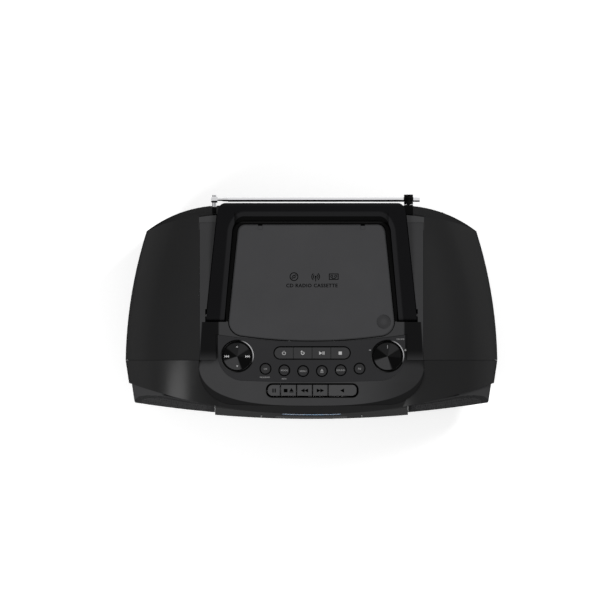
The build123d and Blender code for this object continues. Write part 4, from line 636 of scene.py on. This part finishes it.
# cassette keys
tapePrint = {"edges": (-51.2, -36.3, -17.4, 1.2, 19.4, 53.0), "y": -97.4, "lift": 1.64}
tapeShapes = {
    "tape_pause_key": bar(-1.3, 0, 1.3, 5.0) + bar(1.3, 0, 1.3, 5.0),
    "tape_stop_key": bar(-3.4, 0, 4.4, 4.4) + arrow(3.4, 0.8, 4.4, 90) + bar(3.4, -1.9, 4.6, 1.0),
    "tape_rewind_key": arrow(-1.9, 0, 4.6, 180) + arrow(2.3, 0, 4.6, 180),
    "tape_forward_key": arrow(-2.3, 0, 4.6) + arrow(1.9, 0, 4.6),
    "tape_play_key": arrow(0, 0, 4.8, 180),
}
for i, nodeName in enumerate(tapeKeys):
    x = (tapePrint["edges"][i] + tapePrint["edges"][i + 1]) / 2
    layPrint(nodeName + "Mark", tapeShapes[nodeName], slopeFrame(x, tapePrint["y"], tapePrint["lift"]),
             nodeName + "_body", printBlack)


# dials: signs, and a polished bead round each recess, with a painted glint on it
def ringBead(name, place, radius, section, body, material, steps=72):
    sheet = bmesh.new()
    loops = []
    for i in range(steps):
        a = 2 * math.pi * i / steps
        spots = [((radius + out) * math.cos(a), (radius + out) * math.sin(a), up) for out, up in section]
        loops.append([sheet.verts.new(place @ (Vector(spot) / 1000)) for spot in spots])
    joinRows(sheet, loops)
    made = addSheet(name, sheet, body, material)
    made.data.shade_smooth()
    return made


dialPrint = {"reach": 11.6, "lift": 1.66, "signLift": 0.05, "rimRadius": 18.6,
             "rimSection": ((-0.55, -0.9), (0.0, -0.1), (0.55, 0.25), (0.85, 0.0), (0.6, -0.9))}
place = slopeFrame(*dialSpots["nav_dial"], dialPrint["lift"])
r = dialPrint["reach"]
layPrint("navMarks",
         arcBand(0, r - 1.4, 1.5, 0.5, 45, 135) + arrow(0, r, 2.0, 90) + arrow(0, -r, 2.0, -90)
         + arrow(-r + 1.0, 0, 2.6, 180) + arrow(-r - 1.4, 0, 2.6, 180) + bar(-r - 3.0, 0, 0.5, 2.8)
         + arrow(r - 1.0, 0, 2.6) + arrow(r + 1.4, 0, 2.6) + bar(r + 3.0, 0, 0.5, 2.8),
         place, "nav_dial_body", printWhite)
layPrint("knobMark", bar(0, 11.5, 0.7, 4.0), slopeFrame(*dialSpots["volume_knob"], dialPrint["lift"]),
         "volume_knob_body", printGrey)
layPrint("volumeSigns", bar(-20.6, 7.2, 2.4, 0.5) + bar(20.9, 7.2, 2.4, 0.5) + bar(20.9, 7.2, 0.5, 2.4),
         slopeFrame(*dialSpots["volume_knob"], dialPrint["signLift"]), "cabinet", printWhite)
for nodeName, (x, y) in dialSpots.items():
    ringBead(nodeName + "Rim", slopeFrame(x, y), dialPrint["rimRadius"], dialPrint["rimSection"],
             "cabinet", rimGlintFinish[nodeName])

# signs on the disc lid
lidPrint = {"signX": {"discSign": -20.5, "radioSign": 4.9, "tapeSign": 26.0}, "y": 35.2,
            "wordX": 0.4, "wordY": 24.6, "wordSize": 5.8, "lift": 0.03, "height": 162.0}
lidShapes = {
    "discSign": arcBand(0, 0, 4.6, 1.0) + arcBand(0, 0, 1.5, 0.9) + arcBand(0, 0, 3.0, 0.6, 20, 70)
    + arcBand(0, 0, 3.0, 0.6, 200, 250),
    "radioSign": disc(0, 0, 1.1) + arcBand(0, 0, 2.7, 0.9, -55, 55) + arcBand(0, 0, 4.6, 0.9, -55, 55)
    + arcBand(0, 0, 2.7, 0.9, 125, 235) + arcBand(0, 0, 4.6, 0.9, 125, 235) + bar(0, -3.2, 0.9, 4.8),
    "tapeSign": bar(0, 3.2, 11, 0.9) + bar(0, -3.2, 11, 0.9) + bar(-5.2, 0, 0.9, 6.6)
    + bar(5.2, 0, 0.9, 6.6) + arcBand(-2.3, 0.4, 1.2, 0.8) + arcBand(2.3, 0.4, 1.2, 0.8)
    + bar(0, -2.0, 4.4, 0.8),
}


def onLid(x, y):
    return Matrix.Translation(Vector((x, y, lidPrint["height"] + lidPrint["lift"])) / 1000)


for name, x in lidPrint["signX"].items():
    layPrint(name, lidShapes[name], onLid(x, lidPrint["y"]), "cd_lid_body", printBlack)
layWord("lidWord", "CD RADIO CASSETTE", lidPrint["wordSize"], onLid(lidPrint["wordX"], lidPrint["wordY"]),
        "cd_lid_body", printBlack)
print("prints laid")

# rows of fine round holes over the front of the grilles, where the sheet is whole; the holes are near black
# discs on the sheet, painted shade in place of real holes
perforation = {"width": 0.412, "height": 0.118, "middle": 0.0625, "pitchAcross": 0.0028, "pitchUp": 0.0024,
               "radius": 0.00090, "sides": 8, "clear": 0.0013, "centreHalf": 0.1135, "startY": -0.2,
               "reach": 0.16, "flat": 0.0016, "proud": 0.00006, "stepBack": 0.01}


def perforationTree():
    tree = bpy.data.node_groups.new("grillePerforations", "GeometryNodeTree")
    face = tree.interface
    face.new_socket("Geometry", in_out="OUTPUT", socket_type="NodeSocketGeometry")
    for label, kind in (("Width", "Float"), ("Height", "Float"), ("Columns", "Int"), ("Rows", "Int"),
                        ("Pitch", "Float"), ("Middle Height", "Float"), ("Hole Radius", "Float"),
                        ("Clear Edge", "Float"), ("Centre Half", "Float"), ("Sheet", "Object"),
                        ("Finish", "Material")):
        face.new_socket(label, in_out="INPUT", socket_type="NodeSocket" + kind)
    entry, result = tree.nodes.new("NodeGroupInput"), tree.nodes.new("NodeGroupOutput")

    def add(kind, settings=None, **inputs):
        made = tree.nodes.new(kind)
        for key, value in (settings or {}).items():
            setattr(made, key, value)
        for key, value in inputs.items():
            numbered = key[0] == "i" and key[1:].isdigit()
            socket = made.inputs[int(key[1:]) if numbered else key.replace("_", " ")]
            if isinstance(value, bpy.types.NodeSocket):
                tree.links.new(value, socket)
            else:
                socket.default_value = value
        return made

    def maths(operation, first, second=0.0, third=0.0):
        return add("ShaderNodeMath", {"operation": operation}, i0=first, i1=second, i2=third).outputs[0]

    def vectors(operation, first, **others):
        return add("ShaderNodeVectorMath", {"operation": operation}, i0=first, **others).outputs[0]

    grid = add("GeometryNodeMeshGrid", Size_X=entry.outputs["Width"], Size_Y=entry.outputs["Height"],
               Vertices_X=entry.outputs["Columns"], Vertices_Y=entry.outputs["Rows"]).outputs["Mesh"]
    place = add("ShaderNodeSeparateXYZ", i0=add("GeometryNodeInputPosition").outputs[0])
    row = maths("MODULO", add("GeometryNodeInputIndex").outputs[0], entry.outputs["Rows"])
    odd = maths("MODULO", row, 2.0)
    across = maths("MULTIPLY_ADD", odd, maths("MULTIPLY", entry.outputs["Pitch"], 0.5), place.outputs["X"])
    upright = add("ShaderNodeCombineXYZ", X=across, Y=perforation["startY"],
                  Z=maths("ADD", place.outputs["Y"], entry.outputs["Middle Height"])).outputs[0]
    points = add("GeometryNodeSetPosition", Geometry=grid, Position=upright).outputs[0]
    sheet = add("GeometryNodeObjectInfo", {"transform_space": "ORIGINAL"},
                Object=entry.outputs["Sheet"]).outputs["Geometry"]

    def probe(offset):
        start = vectors("ADD", add("GeometryNodeInputPosition").outputs[0], i1=offset)
        return add("GeometryNodeRaycast", Target_Geometry=sheet, Source_Position=start,
                   Ray_Direction=(0, 1, 0), Ray_Length=perforation["reach"])

    middle = probe((0, 0, 0))
    keep = middle.outputs["Is Hit"]
    outside = maths("GREATER_THAN", maths("ABSOLUTE", across), entry.outputs["Centre Half"])
    keep = maths("MULTIPLY", keep, outside)
    for turn in range(6):
        aside = (math.cos(turn * math.pi / 3), 0, math.sin(turn * math.pi / 3))
        near = probe(vectors("SCALE", aside, Scale=entry.outputs["Clear Edge"])).outputs
        step = maths("ABSOLUTE", maths("SUBTRACT", near["Hit Distance"], middle.outputs["Hit Distance"]))
        level = maths("MULTIPLY", near["Is Hit"], maths("LESS_THAN", step, perforation["flat"]))
        keep = maths("MULTIPLY", keep, level)
    waste = maths("LESS_THAN", keep, 0.5)
    points = add("GeometryNodeDeleteGeometry", {"domain": "POINT"}, Geometry=points,
                 Selection=waste).outputs[0]
    proud = vectors("SCALE", middle.outputs["Hit Normal"], Scale=perforation["proud"])
    landed = vectors("ADD", middle.outputs["Hit Position"], i1=proud)
    points = add("GeometryNodeSetPosition", Geometry=points, Position=landed).outputs[0]
    normal = probe((0, -perforation["stepBack"], 0)).outputs["Hit Normal"]
    hole = add("GeometryNodeMeshCircle", {"fill_type": "NGON"}, Vertices=perforation["sides"],
               Radius=entry.outputs["Hole Radius"]).outputs[0]
    facing = add("FunctionNodeAlignRotationToVector", {"axis": "Z"}, Vector=normal).outputs[0]
    holes = add("GeometryNodeInstanceOnPoints", Points=points, Instance=hole, Rotation=facing).outputs[0]
    real = add("GeometryNodeRealizeInstances", Geometry=holes).outputs[0]
    done = add("GeometryNodeSetMaterial", Geometry=real, Material=entry.outputs["Finish"]).outputs[0]
    tree.links.new(done, result.inputs["Geometry"])
    return tree


def runTree(name, tree, values, body, material):
    carrier = bpy.data.objects.new(name + "Maker", bpy.data.meshes.new(name + "Maker"))
    scene.collection.objects.link(carrier)
    modifier = carrier.modifiers.new("maker", "NODES")
    modifier.node_group = tree
    for item in tree.interface.items_tree:
        if item.in_out == "INPUT" and item.name in values:
            modifier[item.identifier] = values[item.name]
    bpy.context.view_layer.update()
    mesh = bpy.data.meshes.new_from_object(carrier.evaluated_get(bpy.context.evaluated_depsgraph_get()))
    carrier.modifiers.remove(modifier)
    bpy.data.objects.remove(carrier)
    print(name, "faces:", len(mesh.polygons))
    return addPiece(name, mesh, body, material)


# painted shade: near black discs that stand in for the holes
holeShade = mouldedPlastic("holeShade", {"shade": grey(0.0010), "rough": 0.9, "grain": 1800.0,
                                         "grainDepth": 0.1, "specular": 0.0})
runTree("grilleHoles", perforationTree(), {
    "Width": perforation["width"], "Height": perforation["height"],
    "Columns": int(perforation["width"] / perforation["pitchAcross"]) + 1,
    "Rows": int(perforation["height"] / perforation["pitchUp"]) + 1, "Pitch": perforation["pitchAcross"],
    "Middle Height": perforation["middle"], "Hole Radius": perforation["radius"],
    "Clear Edge": perforation["clear"], "Centre Half": perforation["centreHalf"],
    "Sheet": cadNodes["speaker_grilles"], "Finish": holeShade}, "cabinet", holeShade)

# front: the cassette door's window with the hubs behind it, and lit digits behind the display glass
frontPrint = {"displayZ": 111.5, "digit": 6.4, "digitPitch": 6.4, "colonGap": 1.2, "colonUp": 1.5,
              "segment": 0.9, "signX": 24.0, "lift": 0.06, "windowLift": 0.03,
              "windowZ": 66.0, "windowWidth": 84.0, "windowHeight": 40.0, "cells": (28, 8), "line": 0.9,
              "hub": 5.2, "hubLine": 0.7, "hubAcross": 21.2, "hubUp": 2.0,
              "teeth": 6, "toothReach": 3.4, "tooth": 0.6, "toothTurn": 15}
w, h = frontPrint["windowWidth"], frontPrint["windowHeight"]
across, up = frontPrint["cells"]
paneShapes, lineShapes = [], []
for i in range(across):
    x = (i + 0.5) / across * w - w / 2
    for z in (h / 2, -h / 2):
        lineShapes += bar(x, z, w / across, frontPrint["line"])
    for j in range(up):
        paneShapes += bar(x, (j + 0.5) / up * h - h / 2, w / across, h / up)
for j in range(up):
    for side in (-1, 1):
        lineShapes += bar(side * w / 2, (j + 0.5) / up * h - h / 2, frontPrint["line"], h / up)
for side in (-1, 1):
    x, y, reach = side * frontPrint["hubAcross"], frontPrint["hubUp"], frontPrint["toothReach"]
    lineShapes += arcBand(x, y, frontPrint["hub"], frontPrint["hubLine"])
    for turn in range(frontPrint["teeth"]):
        a = math.radians(360 / frontPrint["teeth"] * turn + frontPrint["toothTurn"])
        lineShapes += disc(x + reach * math.cos(a), y + reach * math.sin(a), frontPrint["tooth"], 8)
smokeWindow = mouldedPlastic("smokeWindow", {
    "shade": grey(0.012, 0.05), "rough": 0.2, "grain": 2400.0, "grainDepth": 0.01, "specular": 0.0,
    "gloss": 1.0, "glossRough": 0.05})
windowLine = Finish("windowLine").set(color=grey(0.04), rough=0.4, specular=0.0)
wrapPrint("cassetteWindow", paneShapes, "cassette_door", frontPrint["windowZ"], frontPrint["windowLift"],
          "cassette_door_body", smokeWindow)
wrapPrint("cassetteWindowLines", lineShapes, "cassette_door", frontPrint["windowZ"], frontPrint["lift"],
          "cassette_door_body", windowLine)
segmentGlow = Finish("segmentGlow").set(color=(0.05, 0.25, 0.45, 1), rough=0.4, glow=(0.10, 0.42, 0.75, 1),
                                        glowStrength=0.16)
segmentLines = {"a": (0, 1, 1), "b": (0.5, 0.5, 0), "c": (0.5, -0.5, 0), "d": (0, -1, 1),
                "e": (-0.5, -0.5, 0), "f": (-0.5, 0.5, 0), "g": (0, 0, 1)}
digitSegments = {"0": "abcdef", "1": "bc", "2": "abged", "5": "afgcd"}
digitForm = {"stroke": 0.46, "across": 0.56, "up": 0.5}  # shares of the digit's size


def digitShapes(sign, cx, size):
    shapes = []
    stroke, thick = size * digitForm["stroke"], frontPrint["segment"]
    for key in digitSegments[sign]:
        sx, sy, flat = segmentLines[key]
        w, h = (stroke, thick) if flat else (thick, stroke)
        shapes += bar(cx + sx * size * digitForm["across"], sy * size * digitForm["up"], w, h)
    return shapes


shapes = []
for i, sign in enumerate("1205"):
    aside = frontPrint["colonGap"] if i > 1 else -frontPrint["colonGap"]
    shapes += digitShapes(sign, (i - 1.5) * frontPrint["digitPitch"] + aside, frontPrint["digit"])
thick = frontPrint["segment"]
shapes += bar(0, frontPrint["colonUp"], thick, thick) + bar(0, -frontPrint["colonUp"], thick, thick)
shapes += arrow(-frontPrint["signX"], 0, 3.0) + arcBand(frontPrint["signX"], 0, 1.9, 0.6)
displayPlace = surfaceFrame("display_window", (0, -rayStart, frontPrint["displayZ"] / 1000), (0, 1, 0),
                            (1, 0, 0), frontPrint["lift"])
layPrint("displaySigns", shapes, displayPlace, "cabinet", segmentGlow)

# back: cross recesses in the screw heads, drawn as black crosses: painted shade in place of the recesses
screwPrint = {"places": ((-89.0, 80.0), (89.0, 80.0), (-89.0, 128.0), (-36.0, 128.0), (36.0, 128.0),
                         (89.0, 128.0)), "lift": 0.02, "cross": 3.4, "line": 0.8}
arm = (screwPrint["cross"] - screwPrint["line"]) / 2
armAt = (arm + screwPrint["line"]) / 2
crossShapes = (bar(0, 0, screwPrint["cross"], screwPrint["line"]) + bar(0, armAt, screwPrint["line"], arm)
               + bar(0, -armAt, screwPrint["line"], arm))
for i, (x, z) in enumerate(screwPrint["places"]):
    place = surfaceFrame("cabinet_screws", (x / 1000, rayStart, z / 1000), (0, -1, 0),
                         (-1, 0, 0), screwPrint["lift"])
    layPrint(f"screwCross{i + 1}", crossShapes, place, "cabinet", printBlack)

# front: dark stops in the joints beside the centre panel and the cassette door, which are open from above;
# each joint as distance from the middle, width, front and back
gapStop = {"joints": ((112.96, 0.16, -123.4, -112.0), (58.75, 0.36, -129.8, -122.0)),
           "low": 49.6, "high": 50.8}
sheet = bmesh.new()
for across, width, front, back in gapStop["joints"]:
    for side in (-1, 1):
        block = bmesh.ops.create_cube(sheet, size=0.001)["verts"]
        bmesh.ops.scale(sheet, verts=block, vec=(width, back - front, gapStop["high"] - gapStop["low"]))
        bmesh.ops.translate(sheet, verts=block, vec=Vector((side * across, (front + back) / 2,
                                                            (gapStop["low"] + gapStop["high"]) / 2)) / 1000)
addSheet("gapStops", sheet, "cabinet", plastic["innerBlack"])

# inside the cabinet: a foam gasket that bridges the seam between its two halves, with a lip in the seam
gasket = {"seamY": -62.3, "before": 2.6, "behind": 2.4, "probeBefore": 1.5, "centreZ": 75.0, "steps": 240,
          "inset": 0.12, "thickness": 0.8, "lipFront": 0.33, "lipBack": 0.07, "lipOut": 2.3}


def layGasket():
    trees = [surfaceTree(nodeName) for nodeName in ("front_cabinet", "control_bezel")]
    start = Vector((0, gasket["seamY"] - gasket["probeBefore"], gasket["centreZ"])) / 1000
    outline = []
    for i in range(gasket["steps"]):
        a = 2 * math.pi * i / gasket["steps"]
        aim = Vector((math.cos(a), 0, math.sin(a)))
        hits = [h[3] for h in (t.ray_cast(start, aim) for t in trees) if h[0] is not None]
        outline.append((aim, (min(hits) if hits else outline[-1][1]) - gasket["inset"] / 1000))
    sheet = bmesh.new()
    rows = []
    profile = [(-gasket["before"], 0), (-gasket["lipFront"], 0), (-gasket["lipFront"], -gasket["lipOut"]),
               (-gasket["lipBack"], -gasket["lipOut"]), (-gasket["lipBack"], 0), (gasket["behind"], 0),
               (gasket["behind"], gasket["thickness"]), (-gasket["before"], gasket["thickness"])]
    for aim, reach in outline:
        spots = [(Vector((start.x, (gasket["seamY"] + dy) / 1000, start.z)), reach - sink / 1000)
                 for dy, sink in profile]
        rows.append([sheet.verts.new(spot + aim * out) for spot, out in spots])
    joinRows(sheet, rows)
    addSheet("seamGasket", sheet, "cabinet", plastic["rubberBlack"])


layGasket()

# thin caps over the hinge notches at the back of the lid
hingeCap = {"x": 60.0, "width": 5.4, "frontY": 90.4, "backY": 94.6, "top": 162.0, "thickness": 0.16,
            "corner": 0.4}
for side, label in ((-1, "Left"), (1, "Right")):
    w, y0, y1, c = hingeCap["width"] / 2, hingeCap["frontY"], hingeCap["backY"], hingeCap["corner"]
    outline = [(-w + c, y0), (w - c, y0), (w, y0 + c), (w, y1), (-w, y1), (-w, y0 + c)]
    sheet = bmesh.new()
    top = [sheet.verts.new(Vector((side * hingeCap["x"] + x, y, hingeCap["top"])) / 1000) for x, y in outline]
    face = sheet.faces.new(top)
    low = bmesh.ops.extrude_face_region(sheet, geom=[face])["geom"]
    bmesh.ops.translate(sheet, verts=[v for v in low if isinstance(v, bmesh.types.BMVert)],
                        vec=(0, 0, -hingeCap["thickness"] / 1000))
    bmesh.ops.recalc_face_normals(sheet, faces=sheet.faces)
    addSheet("hingeCap" + label, sheet, "cd_lid_body", plastic["lidGrey"])
print("small pieces made")

# floor, light and camera
studio = {"floorShade": 0.90, "floorGlow": 0.40, "floorReach": 6.0, "world": 0.34, "cameraHeight": 2.0,
          "picture": 0.7137, "centre": (-0.0076, 0.00205), "aim": (0, 0, 0.1)}
lamps = {"leftFront": {"place": (-1.3, -1.2, 1.35), "size": 1.0, "power": 30},
         "rightBack": {"place": (1.25, 1.05, 1.4), "size": 0.8, "power": 29}}
floorMesh = bpy.data.meshes.new("floor")
reach = studio["floorReach"]
corners = [(-reach, -reach, 0), (reach, -reach, 0), (reach, reach, 0), (-reach, reach, 0)]
floorMesh.from_pydata(corners, [], [(0, 1, 2, 3)])
floor = bpy.data.objects.new("floor", floorMesh)
scene.collection.objects.link(floor)
f = Finish("floorWhite")
rays = f.tree.nodes.new("ShaderNodeLightPath").outputs
direct = Signal(f, rays["Is Camera Ray"]).math("MAXIMUM", Signal(f, rays["Is Glossy Ray"]))
direct = direct.math("MAXIMUM", Signal(f, rays["Is Transmission Ray"]))
f.set(color=grey(studio["floorShade"]), rough=0.9, specular=0.1, glow=f.mix(direct, grey(0.0), grey(1.0)),
      glowStrength=studio["floorGlow"])
floorMesh.materials.append(f.material)

world = bpy.data.worlds.new("studio")
scene.world = world
world.use_nodes = True
worldNodes = world.node_tree
background = worldNodes.nodes["Background"]
background.inputs["Color"].default_value = (1, 1, 1, 1)


# white where it is seen, mirrored or seen through, at the plain level of the world's light elsewhere
def greater(first, second):
    made = worldNodes.nodes.new("ShaderNodeMath")
    made.operation = "MAXIMUM"
    worldNodes.links.new(first, made.inputs[0])
    if isinstance(second, bpy.types.NodeSocket):
        worldNodes.links.new(second, made.inputs[1])
    else:
        made.inputs[1].default_value = second
    return made.outputs[0]


rays = worldNodes.nodes.new("ShaderNodeLightPath").outputs
bright = greater(rays["Is Camera Ray"], greater(rays["Is Glossy Ray"], rays["Is Transmission Ray"]))
worldNodes.links.new(greater(bright, studio["world"]), background.inputs["Strength"])

for name, look in lamps.items():
    light = bpy.data.lights.new(name, "AREA")
    light.shape = "RECTANGLE"
    light.size = light.size_y = look["size"]
    light.energy = look["power"]
    lamp = bpy.data.objects.new(name, light)
    scene.collection.objects.link(lamp)
    lamp.location = look["place"]
    toMachine = Vector(studio["aim"]) - Vector(look["place"])
    lamp.rotation_euler = toMachine.to_track_quat("-Z", "Y").to_euler()

camera = bpy.data.cameras.new("camera")
camera.type = "ORTHO"
camera.ortho_scale = studio["picture"]
cameraObject = bpy.data.objects.new("camera", camera)
scene.collection.objects.link(cameraObject)
cameraObject.location = (*studio["centre"], studio["cameraHeight"])
scene.camera = cameraObject
scene.view_settings.view_transform = "Standard"

print("scene ready")
